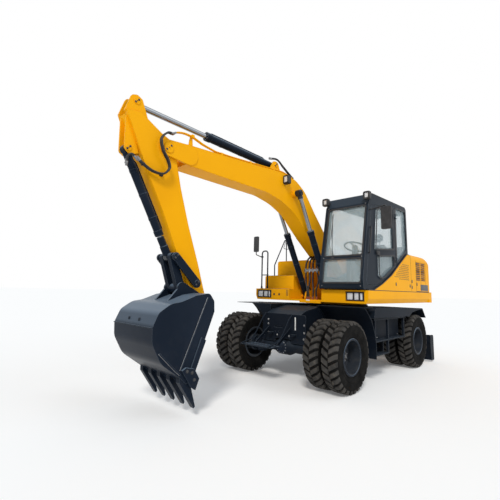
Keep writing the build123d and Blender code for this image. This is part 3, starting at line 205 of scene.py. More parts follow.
def paint(name, colour, deep, chip, rough, dust, wear, shine, edge=0.0,
          edge_light_and_shade_colour=rgb(0.22, 0.26, 0.30), sky=0.0):
    """Sprayed enamel on steel: orange peel, a little fading, dust low down and on ledges, worn edges, and
    optional painted light: edges tinted towards an edge colour (a painted highlight when it is lighter,
    painted shade lines when it is darker), and faces turned up tinted pale blue as a painted sky reflection.
    """
    finish = Finish(name, Specular_IOR_Level=shine)
    clouds = finish.noise(1.3, 3.0)
    grain = finish.noise(55.0, 3.0)
    body = finish.mix(clouds.ramp(0.35, 0.75), colour, deep)
    low = 1 - finish.axis("Z").ramp(0.1, 1.3)
    ledge = finish.up().ramp(0.75, 0.98)
    film = (low * 0.7 + ledge * 0.45) * finish.noise(9.0, 6.0).ramp(0.42, 0.72) * dust
    body = finish.mix(film, body, DRY_DUST)
    # Painted edge light and shade: edges tinted towards the edge colour, a painted highlight when that
    # colour is lighter than the paint and painted shade lines when it is darker.
    if edge:
        body = finish.mix(finish.edges(0.008) * edge, body, edge_light_and_shade_colour)
    # Painted sky reflection: faces turned up are tinted towards a pale blue that stands in for the sky's
    # gloss.
    if sky:
        body = finish.mix(finish.up().ramp(-0.05, 0.95) * sky, body, PAINTED_SKY_REFLECTION)
    chips = finish.edges(0.006) * finish.noise(34.0, 5.0).ramp(0.55, 0.62) * wear
    body = finish.mix(chips, body, chip)
    finish.bump(grain * 0.6 + finish.noise(700.0, 2.0) * 0.4, 0.10, 0.0015, rounded=0.004)
    return finish.set(Base_Color=body, Roughness=rough + clouds * 0.10 + film * 0.45 + chips * 0.15)


def bare_metal(name, colour, rough=0.34, scratch=0.5, rust=0.0):
    """Machined or worn steel with fine scratches and a trace of rust."""
    finish = Finish(name, Metallic=1.0)
    streaks = finish.noise(60.0, 6.0, 0.6, (1, 12, 1))
    cloud = finish.noise(14.0, 5.0)
    body = finish.mix(cloud.ramp(0.4, 0.7), colour, shade(colour, 0.72))
    stain = finish.noise(26.0, 6.0).ramp(0.56, 0.7) * rust
    body = finish.mix(stain, body, rgb(0.19, 0.085, 0.035))
    finish.bump(streaks, 0.12 * scratch, 0.0008, rounded=0.002)
    return finish.set(Base_Color=body, Roughness=rough + streaks * 0.16 * scratch + stain * 0.3)


def chrome_rod():
    """Hard chrome on the piston rods under a thin film of oil; the eyes at their ends are painted dark."""
    finish = Finish("rod_chrome")
    rings = finish.noise(90.0, 3.0)
    across, height = finish.axis("X"), finish.axis("Z")
    painted = 0.0
    for (x, z), reach in ((BOOM_EYE, 0.105), (ARM_EYE, 0.095), (BUCKET_EYE, 0.090), (BLADE_EYE, 0.070)):
        near = ((across - x) * (across - x) + (height - z) * (height - z)) < reach ** 2
        painted = near + painted
    painted = painted > 0.5
    chrome = finish.mix(rings, rgb(0.30, 0.315, 0.335), rgb(0.22, 0.235, 0.255))
    finish.bump(rings, 0.02, 0.0004)
    return finish.set(Base_Color=finish.mix(painted, chrome, rgb(0.008, 0.012, 0.020)),
                      Roughness=0.13 + rings * 0.08 + painted * 0.2, Metallic=1 - painted)


def tyre_rubber(name, dark, pale, dusty):
    """Tyre rubber: matt warm black, dusty in the grooves and on the flanks, with fine moulding lines."""
    finish = Finish(name, Specular_IOR_Level=0.04)
    mottle = finish.noise(7.0, 6.0)
    fine = finish.noise(120.0, 4.0)
    body = finish.mix(mottle.ramp(0.3, 0.75), dark, pale)
    dust = finish.noise(16.0, 6.0, 0.65).ramp(0.45, 0.78) * dusty
    body = finish.mix(dust, body, rgb(0.15, 0.13, 0.105))
    finish.bump(fine + mottle * 0.5, 0.35, 0.0025, rounded=0.003)
    return finish.set(Base_Color=body, Roughness=0.72 + fine * 0.2)


def moulded(name, colour, rough=0.5, grain=900.0):
    """Moulded plastic or rubber with a leather-like skin."""
    finish = Finish(name, Specular_IOR_Level=0.4)
    skin = finish.value("ShaderNodeTexVoronoi", {"feature": "DISTANCE_TO_EDGE"},
                        {"Vector": finish.place, "Scale": grain})
    cloud = finish.noise(12.0, 4.0)
    finish.bump(skin, 0.25, 0.0006, rounded=0.0015)
    lighter = rgb(*(part * 1.5 + 0.01 for part in colour[:3]))
    body = finish.mix(cloud.ramp(0.4, 0.8), colour, lighter)
    return finish.set(Base_Color=body, Roughness=rough + cloud * 0.15)


def seat_cloth():
    """Woven seat cover: crossed yarns with a soft nap."""
    finish = Finish("seat_cloth", Sheen_Weight=0.35, Specular_IOR_Level=0.2)
    across = (finish.axis("Y") * 2200.0).sine()
    along = ((finish.axis("X") + finish.axis("Z")) * 2200.0).sine()
    weave = abs(across * along)
    cloud = finish.noise(24.0, 5.0)
    body = finish.mix(weave * 0.6 + cloud * 0.4, rgb(0.015, 0.016, 0.02), rgb(0.06, 0.065, 0.075))
    finish.bump(weave, 0.4, 0.0008)
    return finish.set(Base_Color=body, Roughness=0.85 + weave * 0.1)


def window_glass():
    """Green-tinted safety glass: mostly see-through, mirror-like at a slant, with faint dust."""
    finish = Finish("window_glass", Specular_IOR_Level=0.9, IOR=1.52)
    smear = finish.noise(5.0, 5.0, 0.6, (1, 1, 0.4))
    body = finish.mix(smear, rgb(0.44, 0.58, 0.62), rgb(0.60, 0.72, 0.76))
    finish.material.surface_render_method = "DITHERED"
    return finish.set(Base_Color=body, Roughness=0.02 + smear * 0.05, Alpha=0.22 + smear * 0.14)


def lens(name, colour, alpha):
    """Ribbed moulded lamp lens."""
    finish = Finish(name, IOR=1.5, Specular_IOR_Level=0.7)
    ribs = (finish.axis("Y") * 420.0).sine()
    finish.bump(ribs * 0.5 + (finish.axis("Z") * 420.0).sine() * 0.5, 0.5, 0.002)
    glow = finish.noise(30.0, 2.0)
    body = finish.mix(glow, colour, shade(colour, 1.25))
    return finish.set(Base_Color=body, Roughness=0.08 + glow * 0.08, Alpha=alpha)


CHIP_GREY = rgb(0.10, 0.10, 0.10)
CHIP_PALE = rgb(0.12, 0.12, 0.12)
# Its edge colour is a darker orange: painted shade lines along the plate edges.
YELLOW = paint("yellow_paint", rgb(0.88, 0.40, 0.003), rgb(0.82, 0.36, 0.003), rgb(0.35, 0.33, 0.30),
               rough=0.34, dust=0.05, wear=0.20, shine=0.05, edge=0.35, edge_light_and_shade_colour=rgb(0.40, 0.15, 0.002))
# Darker copy of the yellow paint for the louvre slats: painted shade of the slatted panel.
LOUVRE_SHADED = paint("louvre_yellow_shaded", rgb(0.72, 0.30, 0.003), rgb(0.62, 0.25, 0.003), rgb(0.30, 0.30, 0.30),
               rough=0.42, dust=0.05, wear=0.1, shine=0.08)
# Painted highlight on its edges and a strong painted sky reflection on faces turned up.
DARK = paint("dark_paint", rgb(0.006, 0.011, 0.021), rgb(0.010, 0.016, 0.028), CHIP_GREY, rough=0.28,
             dust=0.04, wear=0.3, shine=0.06, edge=0.30, sky=0.55)
# Darker, matter copy of the dark paint for the undercarriage: the matt finish is its own, the darker base is
# painted shade; it also gets a painted edge highlight and a faint painted sky reflection.
FRAME_DARK_SHADED = paint("frame_paint_shaded", rgb(0.005, 0.008, 0.014), rgb(0.009, 0.013, 0.020), CHIP_GREY, rough=0.42,
                   dust=0.03, wear=0.3, shine=0.05, edge=0.25, sky=0.06)
# Painted highlight along its edges, for the lit pillar edges, and a faint painted sky reflection.
CAB_GREY = paint("cab_grey", rgb(0.012, 0.018, 0.027), rgb(0.018, 0.025, 0.035), CHIP_PALE,
                 rough=0.28, dust=0.03, wear=0.12, shine=0.05, edge=0.55, sky=0.15)
# Painted highlight along its edges.
RIM_PAINT = paint("rim_paint", rgb(0.024, 0.029, 0.038), rgb(0.032, 0.038, 0.048), CHIP_PALE,
                  rough=0.32, dust=0.08, wear=0.2, shine=0.12, edge=0.40)
STEEL = bare_metal("worn_steel", rgb(0.26, 0.26, 0.265), rust=0.25)
CAST = bare_metal("cast_iron", rgb(0.085, 0.085, 0.088), 0.55, 0.3, 0.15)
CHROME = chrome_rod()
RUBBER = tyre_rubber("tyre_rubber", rgb(0.006, 0.006, 0.006), rgb(0.014, 0.0135, 0.013), 0.03)
# Lighter, dustier copy of the tyre rubber for the lugs: the lighter base is a painted highlight where the
# lugs catch light, the extra dust is real dust on the tread.
LUG_RUBBER_LIT = tyre_rubber("lug_rubber_lit", rgb(0.034, 0.033, 0.032), rgb(0.070, 0.066, 0.062), 0.40)
HOSE = moulded("hose_rubber", rgb(0.012, 0.012, 0.013), 0.42, 400.0)
BLACK = moulded("black_plastic", rgb(0.018, 0.018, 0.020))
TRIM = moulded("grey_trim", rgb(0.09, 0.095, 0.10), 0.55)
CLOTH = seat_cloth()
GLASS = window_glass()
CLEAR = lens("clear_lens", rgb(0.80, 0.82, 0.84), 0.75)
AMBER = lens("amber_lens", rgb(0.85, 0.24, 0.01), 0.95)
RED_SLEEVE = moulded("red_sleeve", rgb(0.22, 0.055, 0.018), 0.5)
RED = lens("red_lens", rgb(0.50, 0.012, 0.010), 0.95)
WHITE = moulded("white_tag", rgb(0.62, 0.63, 0.62), 0.45)

NODE_FINISH = {
    YELLOW: ("boom", "arm", "hood", "right_body", "deck", "boom_pipes", "counterweight"),
    DARK: ("bucket", "idler_links", "bucket_link", "boom_cylinder_barrels", "arm_cylinder_barrel",
           "bucket_cylinder_barrel"),
    FRAME_DARK_SHADED: ("chassis_frame", "front_axle", "rear_axle", "knuckle_left", "knuckle_right", "dozer_blade",
                 "blade_cylinder_barrels", "side_steps", "prop_shaft", "fenders", "front_step", "handrails"),
    RIM_PAINT: ("rims_front_left", "rims_front_right", "rims_rear_left", "rims_rear_right"),
    LOUVRE_SHADED: ("hood_louvres",),
    CAB_GREY: ("cab_frame", "cab_door"),
    CHROME: ("boom_cylinder_rods", "arm_cylinder_rod", "bucket_cylinder_rod", "blade_cylinder_rods",
             "steering_rod"),
    CAST: ("engine",),
    GLASS: ("cab_glass", "door_glass"),
    CLOTH: ("seat",),
    BLACK: ("controls", "mirrors", "lamps", "boom_lamp"),
    RUBBER: ("tyres_front_left", "tyres_front_right", "tyres_rear_left", "tyres_rear_right"),
}


def dress_nodes():
    """Gives every solid its finish."""
    for material, names in NODE_FINISH.items():
        for name in names:
            NODES[name].data.materials.clear()
            NODES[name].data.materials.append(material)


# ---------------------------------------------------------------- shapes
def rounded(points, radius, closed=False, steps=5):
    """Corners of a line replaced by soft bends, as a list of points."""
    corners = [Vector(point) for point in points]
    count = len(corners)
    result = []
    for index, corner in enumerate(corners):
        if not closed and index in (0, count - 1):
            result.append(corner)
            continue
        before, after = corners[index - 1] - corner, corners[(index + 1) % count] - corner
        turn = pi - before.angle(after)
        reach = min(radius * tan(turn / 2), 0.45 * before.length, 0.45 * after.length)
        first, last = corner + before.normalized() * reach, corner + after.normalized() * reach
        for step in range(steps + 1):
            share = step / steps
            result.append(first * (1 - share) ** 2 + corner * 2 * share * (1 - share) + last * share ** 2)
    return result


def flowing(points, steps=8):
    """Smooth line through the points, for hoses."""
    line = [Vector(point) for point in points]
    line = [2 * line[0] - line[1], *line, 2 * line[-1] - line[-2]]
    result = []
    for a, b, c, d in zip(line, line[1:], line[2:], line[3:]):
        for step in range(steps):
            t = step / steps
            result.append(0.5 * (2 * b + (c - a) * t + (2 * a - 5 * b + 4 * c - d) * t ** 2
                                 + (3 * b - a - 3 * c + d) * t ** 3))
    return result + [line[-2]]


def ring(radius, sides=12):
    """Section of a round tube."""
    turns = [2 * pi * step / sides for step in range(sides)]
    return [(radius * cos(turn), radius * sin(turn)) for turn in turns]


def round_plate(centre, y, radius, count):
    """Circle round a pin on a plate that faces sideways."""
    turns = [2 * pi * step / count for step in range(count)]
    return [(centre[0] + radius * cos(turn), y, centre[1] + radius * sin(turn)) for turn in turns]


def bar(width, height, soften=0.0):
    """Section of a flat strip: width across, height out from the surface."""
    cut = soften or min(width, height) * 0.25
    return [(-width / 2, 0), (width / 2, 0), (width / 2, height - cut), (width / 2 - cut, height),
            (cut - width / 2, height), (-width / 2, height - cut)]


class Piece:
    """A named mesh built from simple worked shapes, then handed to the body that carries it."""

    def __init__(self, name, body, *materials):
        self.name, self.body, self.materials = name, body, materials
        self.mesh = bmesh.new()

    def _take(self, made, material=0):
        for face in made.faces:
            face.material_index = material
        bmesh.ops.recalc_face_normals(made, faces=made.faces)
        part = bpy.data.meshes.new("part")
        made.to_mesh(part)
        made.free()
        self.mesh.from_mesh(part)
        bpy.data.meshes.remove(part)

    def box(self, low, high, bevel=0.004, material=0, turn=None):
        """Block with bevelled edges, turned about its middle if a rotation is given."""
        made = bmesh.new()
        bmesh.ops.create_cube(made, size=1.0)
        low, high = Vector(low), Vector(high)
        bmesh.ops.scale(made, vec=high - low, verts=made.verts)
        bmesh.ops.bevel(made, geom=made.edges[:], offset=bevel, segments=2, affect="EDGES", profile=0.5)
        if turn:
            bmesh.ops.rotate(made, matrix=turn, verts=made.verts)
        bmesh.ops.translate(made, vec=(low + high) / 2, verts=made.verts)
        self._take(made, material)

    def lathe(self, centre, axis, profile, steps=32, material=0):
        """Turned shape: profile of (distance along the axis, radius)."""
        made = bmesh.new()
        turn = Vector(axis).to_track_quat("Z", "Y").to_matrix()
        rows = []
        for along, radius in profile:
            loop = ring(radius, steps) if radius else [(0.0, 0.0)]
            rows.append([made.verts.new(Vector(centre) + turn @ Vector((u, v, along))) for u, v in loop])
        for first, second in zip(rows, rows[1:]):
            for s in range(steps):
                corners = [first[s % len(first)], first[(s + 1) % len(first)],
                           second[(s + 1) % len(second)], second[s % len(second)]]
                corners = list(dict.fromkeys(corners))
                if len(corners) > 2:
                    made.faces.new(corners)
        self._take(made, material)

    def sweep(self, points, section, closed=False, up=None, material=0):
        """Section run along a line; up keeps a strip's height pointing out from its surface."""
        line = [Vector(point) for point in points]
        made = bmesh.new()
        count = len(line)
        side = None
        rows = []
        for index, point in enumerate(line):
            ahead = line[(index + 1) % count] if closed or index < count - 1 else point
            behind = line[index - 1] if closed or index else point
            along = (ahead - behind).normalized()
            if up is not None:
                side = along.cross(Vector(up)).normalized()
            elif side is None:
                side = along.orthogonal().normalized()
            else:
                side = (side - along * side.dot(along)).normalized()
            out = Vector(up) if up is not None else along.cross(side)
            rows.append([made.verts.new(point + side * u + out * v) for u, v in section])
        pairs = list(zip(rows, rows[1:]))
        if closed:
            pairs.append((rows[-1], rows[0]))
        for first, second in pairs:
            for s in range(len(section)):
                t = (s + 1) % len(section)
                made.faces.new((first[s], first[t], second[t], second[s]))
        if not closed:
            made.faces.new(rows[0])
            made.faces.new(rows[-1][::-1])
        self._take(made, material)

    def prism(self, outline, y, bevel=0.003, material=0):
        """Plate from an (x, z) outline between two y values."""
        made = bmesh.new()
        face = made.faces.new([made.verts.new((x, y[0], z)) for x, z in outline])
        grown = bmesh.ops.extrude_face_region(made, geom=[face])["geom"]
        bmesh.ops.translate(made, vec=(0, y[1] - y[0], 0),
                            verts=[item for item in grown if isinstance(item, bmesh.types.BMVert)])
        bmesh.ops.bevel(made, geom=made.edges[:], offset=bevel, segments=1, affect="EDGES")
        self._take(made, material)

    def stud(self, place, axis, radius, height, tip=None, steps=14, material=0):
        """Low round button; tip is the radius of its outer face where its side slants."""
        self.lathe(place, axis, [(0, radius), (height, tip or radius), (height, 0)], steps, material)

    def bolt(self, place, axis, radius, height, material=0):
        """Hexagon head on its washer."""
        washer = [(0, 1.45), (0.22, 1.45), (0.3, 1.3), (0.3, 0)]
        self.lathe(place, axis, [(height * up, radius * wide) for up, wide in washer], 14, material)
        head = [(0.25, 1), (0.85, 1), (1, 0.82), (1, 0)]
        self.lathe(place, axis, [(height * up, radius * wide) for up, wide in head], 6, material)

    def bolts_round(self, centre, axis, spread, count, radius, height, phase=0.0, material=0):
        """Bolts on a circle round an axis."""
        turn = Vector(axis).to_track_quat("Z", "Y").to_matrix()
        for index in range(count):
            angle = 2 * pi * (index + phase) / count
            off = turn @ Vector((spread * cos(angle), spread * sin(angle), 0))
            self.bolt(Vector(centre) + off, axis, radius, height, material)

    def done(self, bend=None, sharp=35):
        """Makes the object; bend is (other body, start, end) for a hose that crosses a joint, but only
        whether it is given is used: such a hose stays where it is built and goes to no body.
        """
        data = bpy.data.meshes.new(self.name)
        self.mesh.to_mesh(data)
        self.mesh.free()
        for material in self.materials:
            data.materials.append(material)
        for face in data.polygons:
            face.use_smooth = True
        data.set_sharp_from_angle(angle=radians(sharp))
        made = bpy.data.objects.new(self.name, data)
        bpy.context.collection.objects.link(made)
        if bend:
            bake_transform(made)
        else:
            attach(made, self.body)
        return made


# ---------------------------------------------------------------- wheels
TYRE_WIDTH = 0.272
PAIR_Y = 0.9805
RIM_OUTER = 0.2662
AXLES = {end: JOINTS[f"roll_{end}_left"]["pos_m"][0] for end in ("front", "rear")}
WHEEL_RADIUS = JOINTS["roll_front_left"]["pos_m"][2]
LUG_COUNT = 28
LUG_LEAN = 1.15
# half of the tyre's section from the bead to the tread's middle: y, radius
CARCASS = [(-0.094, 0.2565), (-0.096, 0.279), (-0.110, 0.286), (-0.1125, 0.296), (-0.109, 0.302),
           (-0.121, 0.345), (-0.1245, 0.348), (-0.1245, 0.356), (-0.123, 0.359), (-0.133, 0.400),
           (-0.131, 0.440), (-0.1235, 0.476), (-0.112, 0.496), (-0.095, 0.504), (0, 0.507)]
# a lug from the tread's middle to the flank: y, top radius, foot radius
LUG_STATIONS = [(0.007, 0.5272, 0.502), (0.048, 0.5275, 0.502), (0.090, 0.5265, 0.498),
                (0.1085, 0.5200, 0.490), (0.1215, 0.4980, 0.480), (0.1275, 0.4740, 0.468)]


def tyre_pair(node, body, axle_x):
    """Two tyres with staggered slanted lugs that run down the shoulders."""
    low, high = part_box(node)
    piece = Piece(f"{node}_tread", body, RUBBER, LUG_RUBBER_LIT)
    profile = CARCASS + [(-y, radius) for y, radius in CARCASS[-2::-1]]
    pitch = 2 * pi / LUG_COUNT
    for middle in (low[1] + TYRE_WIDTH / 2, high[1] - TYRE_WIDTH / 2):
        centre = Vector((axle_x, middle, WHEEL_RADIUS))
        piece.lathe(centre, (0, 1, 0), profile, 84)
        made = bmesh.new()
        for side in (1, -1):
            for index in range(LUG_COUNT):
                start = pitch * (index + (0.5 if side < 0 else 0))
                rows = []
                for y, top, foot in LUG_STATIONS:
                    row = []
                    for share, radius in ((-0.33, foot), (-0.27, top), (0.27, top), (0.33, foot)):
                        turn = start + LUG_LEAN * y + pitch * share
                        place = Vector((radius * cos(turn), side * y, radius * sin(turn)))
                        row.append(made.verts.new(centre + place))
                    rows.append(row)
                for first, second in zip(rows, rows[1:]):
                    for s in range(3):
                        made.faces.new((first[s], first[s + 1], second[s + 1], second[s]))
                made.faces.new(rows[0])
                made.faces.new(rows[-1])
        piece._take(made, 1)
    made = piece.done(sharp=28)
    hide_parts(node)


def wheel_fittings(name, body, axle_x, side):
    """Rim flange, lock ring, wheel nuts, hub cover and valves of one pair of wheels."""
    piece = Piece(f"wheel_fittings_{name}", body, CAST, DARK, STEEL)
    out = (0, side, 0)

    def at(y):
        return axle_x, side * (PAIR_Y + y), WHEEL_RADIUS

    piece.lathe(at(0.0143), out, [(0, 0.150), (0, 0.196), (0.006, 0.193), (0.006, 0.150)], 40, 1)
    lock_ring = [(0, 0.2475), (0.004, 0.2475), (0.006, 0.256), (0.005, 0.268), (0, 0.272)]
    piece.lathe(at(RIM_OUTER), out, lock_ring, 64, 1)
    hub_cover = [(0, 0.078), (0.006, 0.074), (0.009, 0.050), (0.012, 0.046), (0.012, 0)]
    piece.lathe(at(0.1303), out, hub_cover, 32, 0)
    piece.bolts_round(at(0.0205), out, 0.172, 10, 0.0165, 0.030, material=2)
    piece.bolts_round(at(0.070), out, 0.1225, 12, 0.008, 0.008, material=2)
    piece.bolts_round(at(0.138), out, 0.060, 6, 0.007, 0.008, 0.5, material=2)
    piece.bolt(at(0.142), out, 0.016, 0.016, 2)
    for turn in (0.4, 0.4 + pi):
        away = Vector((cos(turn), 0, sin(turn)))
        foot = Vector(at(0.06)) + away * 0.225
        piece.sweep([foot, foot + Vector((0, side * 0.07, 0)) - away * 0.03], ring(0.004, 8))
    piece.done()


def wheels():
    """Tyres and wheel fittings of all eight wheels, pair by pair."""
    for end, axle_x in AXLES.items():
        for name, side in (("left", 1), ("right", -1)):
            tyre_pair(f"tyres_{end}_{name}", f"wheels_{end}_{name}", axle_x)
            wheel_fittings(f"{end}_{name}", f"wheels_{end}_{name}", axle_x, side)


# ---------------------------------------------------------------- pins
# name, body, place, distance of the face from the middle, cap radius, bolts, finish
PIN_CAPS = [("boom_foot", "upper", side_view("boom_lift"), 0.213, 0.062, 3, YELLOW),
            ("boom_cylinder_eye", "boom", BOOM_EYE, 0.3155, 0.050, 3, DARK),
            ("arm_pivot", "boom", side_view("arm_swing"), 0.1602, 0.070, 2, YELLOW),
            ("arm_cylinder_base", "boom", side_view("arm_barrel_turn"), 0.0952, 0.040, 2, YELLOW),
            ("arm_cylinder_eye", "arm", ARM_EYE, 0.0922, 0.044, 2, YELLOW),
            ("bucket_cylinder_base", "arm", side_view("bucket_barrel_turn"), 0.0842, 0.040, 2, YELLOW),
            ("idler_pivot", "idlers", side_view("idler_turn"), 0.1932, 0.044, 2, DARK),
            ("link_pin", "idlers", side_view("link_turn"), 0.1932, 0.042, 2, DARK),
            ("bucket_pivot", "arm", side_view("bucket_curl"), 0.1722, 0.054, 3, DARK),
            ("blade_hinge", "chassis", side_view("blade_lift"), 0.3662, 0.040, 2, DARK)]
CAP_HEIGHT = 0.010
NIPPLE = [(0, 0.006), (0.006, 0.005), (0.008, 0.003), (0.012, 0.003), (0.012, 0)]


def pin_caps():
    """Bolted keeper caps on the ends of the pins, with a grease nipple in the middle."""
    for name, body, (x, z), face, radius, count, finish in PIN_CAPS:
        piece = Piece(f"pin_caps_{name}", body, finish, CAST)
        cap = [(0, radius), (0.007, radius), (CAP_HEIGHT, radius - 0.004), (CAP_HEIGHT, 0)]
        for side in (1, -1):
            out = (0, side, 0)
            outside = (x, side * (face + CAP_HEIGHT), z)
            piece.lathe((x, side * face, z), out, cap, 36)
            piece.bolts_round(outside, out, radius * 0.62, count, 0.0095, 0.009, 0.25, 1)
            piece.lathe(outside, out, NIPPLE, 10, 1)
        piece.done()


# ---------------------------------------------------------------- boom and arm
BOOM_SIDE_Y = 0.150
ARM_SIDE_Y = 0.122
WELD_RADIUS = 0.005


def weld(piece, side, y, line):
    """Fillet weld: a round bead along a seam on one side of a box, given as (x, z) points."""
    piece.sweep([(x, side * y, z) for x, z in line], ring(WELD_RADIUS, 6))


BOOM_WELDS = [[(0.25, 1.760), (0.80, 2.148), (1.30, 2.500)], [(0.20, 2.045), (0.70, 2.555), (1.05, 2.912)],
              [(2.55, 3.486), (3.183, 3.437), (4.05, 3.370)], [(2.60, 3.088), (3.30, 3.090), (4.05, 3.092)]]
# outline of the bracket that lifts the pipes before the boom's tip
PIPE_BRACKET = [(4.030, 3.372), (4.100, 3.367), (4.090, 3.440), (4.078, 3.478), (4.042, 3.478)]


def boom_details():
    """Welds, cylinder bosses and pipe clamps of the boom, and its two pipes with their raised ends."""
    piece = Piece("boom_welds_and_brackets", "boom", YELLOW, STEEL)
    for side in (1, -1):
        for line in BOOM_WELDS:
            weld(piece, side, BOOM_SIDE_Y - 0.003, line)
        boss = round_plate(BOOM_EYE, side * (BOOM_SIDE_Y + 0.002), 0.062, 32)
        piece.sweep(boss, ring(0.006, 6), closed=True)
    piece.prism(PIPE_BRACKET, (0.136, 0.150))
    piece.box((4.040, 0.132, 3.470), (4.080, 0.196, 3.512), 0.004)
    for y in (0.150, 0.178):
        piece.bolt((4.060, y, 3.512), (0, 0, 1), 0.007, 0.008, 1)
    for x in (2.330, 2.900, 3.500):
        z = boom_top(x)
        piece.box((x - 0.018, 0.099, z), (x + 0.018, 0.146, z + 0.036), 0.003)
        piece.bolt((x, 0.121, z + 0.036), (0, 0, 1), 0.008, 0.009, 1)
    piece.done()

    pipes = Piece("boom_pipes_raised", "boom", YELLOW, STEEL)
    for y, tip in ((0.108, 0.150), (0.134, 0.178)):
        end = (4.350, tip + 0.006, 3.432)
        low = [(x, y, boom_top(x) + above) for x, above in ((2.101, 0.022), (3.300, 0.022), (3.620, 0.028))]
        route = [(1.790, y, 3.516), *low, (3.860, (y + tip) / 2, 3.452), (4.060, tip, 3.490),
                 (4.190, tip, 3.494), (4.300, tip + 0.004, 3.464), end]
        pipes.sweep(rounded(route, 0.35, steps=7), ring(0.009, 12))
        pipes.lathe(end, (0.05, 0.004, -0.032), [(-0.03, 0.014), (0.012, 0.014), (0.012, 0)], 6, 1)
    made = pipes.done()
    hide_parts("boom_pipes")


def boom_top(x):
    """Height of the boom's top plate on its long straight stretches."""
    if x < 3.183:
        return 3.532 - (x - 2.101) * 0.092 / 1.082
    return 3.440 - (x - 3.183) * 0.072 / 0.947


ARM_WELDS = [[(3.70, 1.375), (3.836, 1.790), (4.025, 2.300), (4.170, 2.760), (4.250, 3.08)],
             [(3.960, 1.500), (4.165, 1.910), (4.396, 2.400), (4.668, 2.905), (4.810, 3.202)]]


def arm_details():
    """Welds, tip collars and hose clips of the arm."""
    piece = Piece("arm_welds_and_clips", "arm", YELLOW, DARK, STEEL)
    y = ARM_SIDE_Y - 0.003
    for side in (1, -1):
        for line in ARM_WELDS:
            weld(piece, side, y, line)
        collar = round_plate(side_view("bucket_curl"), side * y, 0.084, 28)
        piece.sweep(collar, ring(0.006, 6), closed=True)
    for x, z in ((4.47, 2.86), (4.72, 2.925)):
        piece.box((x - 0.02, 0.120, z - 0.02), (x + 0.02, 0.150, z + 0.02), 0.004, 1)
        piece.bolt((x, 0.150, z), (0, 1, 0), 0.008, 0.008, 2)
    piece.done()


# ---------------------------------------------------------------- hoses
def hose_end(piece, place, axis, radius):
    """Crimped ferrule and swivel nut at a hose's end."""
    ferrule = [(-0.040, 1.03), (-0.037, 1.18), (0.0, 1.18), (0.003, 1.05), (0.003, 0)]
    nut = [(0.0, 1.3), (0.016, 1.3), (0.018, 0)]
    for profile, steps in ((ferrule, 14), (nut, 6)):
        piece.lathe(place, axis, [(along, radius * wide) for along, wide in profile], steps, 1)


def hose(piece, points, radius=0.0125):
    """Rubber hose through the points with a fitting at each end."""
    line = flowing(points, 9)
    piece.sweep(line, ring(radius, 12))
    hose_end(piece, line[0], line[0] - line[1], radius)
    hose_end(piece, line[-1], line[-1] - line[-2], radius)


# turned sleeve at a hose's foot: (height, radius)
SLEEVE = [(0, 0.026), (0.050, 0.024), (0.056, 0.018), (0.056, 0)]


def boom_foot_hoses():
    """Four hoses that rise from the platform into the boom's foot, clamped together half way."""
    piece = Piece("boom_foot_hoses", "upper", HOSE, STEEL, RED_SLEEVE)
    for index, (x, sway) in enumerate(((0.99, 0.012), (1.02, -0.014), (1.00, 0.016), (0.97, -0.010))):
        y = -0.126 + index * 0.084
        hose(piece, [(x, y * 0.8, 1.345), (x + 0.012, y * 0.85 + sway, 1.50), (x - 0.008, y - sway, 1.70),
                     (1.00, y, 1.885)], 0.0165)
        hose(piece, [(1.00, y, 1.895), (1.005, y * 0.95, 1.99), (0.965, y * 0.85, 2.10),
                     (0.875, y * 0.75, 2.165), (0.80, y * 0.72, 2.128)], 0.0165)
        piece.lathe((x, y * 0.8, 1.330), (0, 0, 1), SLEEVE, 16, 2)
    piece.box((0.985, -0.165, 1.868), (1.015, 0.165, 1.912), 0.005, 1)
    piece.done(("boom", (1.0, 0, 1.42), (0.90, 0, 2.06)))


def boom_tip_hoses():
    """Two hoses in an S from the boom's pipes over the arm's side to the bucket cylinder's clips."""
    piece = Piece("boom_tip_hoses", "boom", HOSE, STEEL)
    for shift in (0.0, 0.028):
        y = 0.180 + shift
        hose(piece, [(4.364, 0.157 + shift * 0.93, 3.422), (4.455, y, 3.395), (4.535, y + 0.006, 3.290),
                     (4.505, y + 0.010, 3.150), (4.425, y + 0.004, 3.040), (4.395, y - 0.004, 2.950),
                     (4.470, y - 0.012, 2.862), (4.600, y - 0.024, 2.860), (4.720, y - 0.040, 2.915),
                     (4.800, 0.128 + shift, 2.975)])
    piece.done(("arm", (4.45, 0.18, 3.40), (4.42, 0.18, 3.00)))


def cylinder_hoses():
    """Short hoses onto the barrels."""
    bucket = Piece("bucket_cylinder_hoses", "arm", HOSE, STEEL)
    for shift in (0.0, 0.030):
        hose(bucket, [(4.815, 0.128 + shift, 2.985 - shift), (4.87, 0.120 + shift, 3.00),
                      (4.905, 0.095 + shift, 2.97), (4.900, 0.072 + shift * 0.6, 2.91 - shift)])
    bucket.done(("bucket_barrel", (4.83, 0.12, 2.99), (4.90, 0.07, 2.92)))

    lift = Piece("boom_cylinder_hoses", "upper", HOSE, STEEL)
    for side in (1, -1):
        for shift in (0.0, 0.05):
            hose(lift, [(0.62 - shift, side * 0.262, 1.345), (0.64 - shift, side * 0.266, 1.42),
                        (0.70 - shift, side * 0.272, 1.50 + shift),
                        (0.775 - shift * 0.4, side * 0.270, 1.53 + shift)])
    lift.done(("boom_barrels", (0.63, 0, 1.40), (0.74, 0, 1.52)))

    arm = Piece("arm_cylinder_hoses", "boom", HOSE, STEEL)
    for shift in (0.0, 0.026):
        hose(arm, [(1.800, 0.108 + shift, 3.518), (1.90, 0.112 + shift, 3.560), (2.06, 0.118, 3.640 + shift),
                   (2.22, 0.112, 3.735 + shift * 0.5), (2.38, 0.080, 3.720 + shift * 0.5)], 0.0115)
    arm.done(("arm_barrel", (1.95, 0.11, 3.58), (2.30, 0.11, 3.72)))


# ---------------------------------------------------------------- cab
CAB_LEFT_Y = 1.215
CAB_RIGHT_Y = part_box("cab_frame")[0][1]
DOOR_Y = 1.235
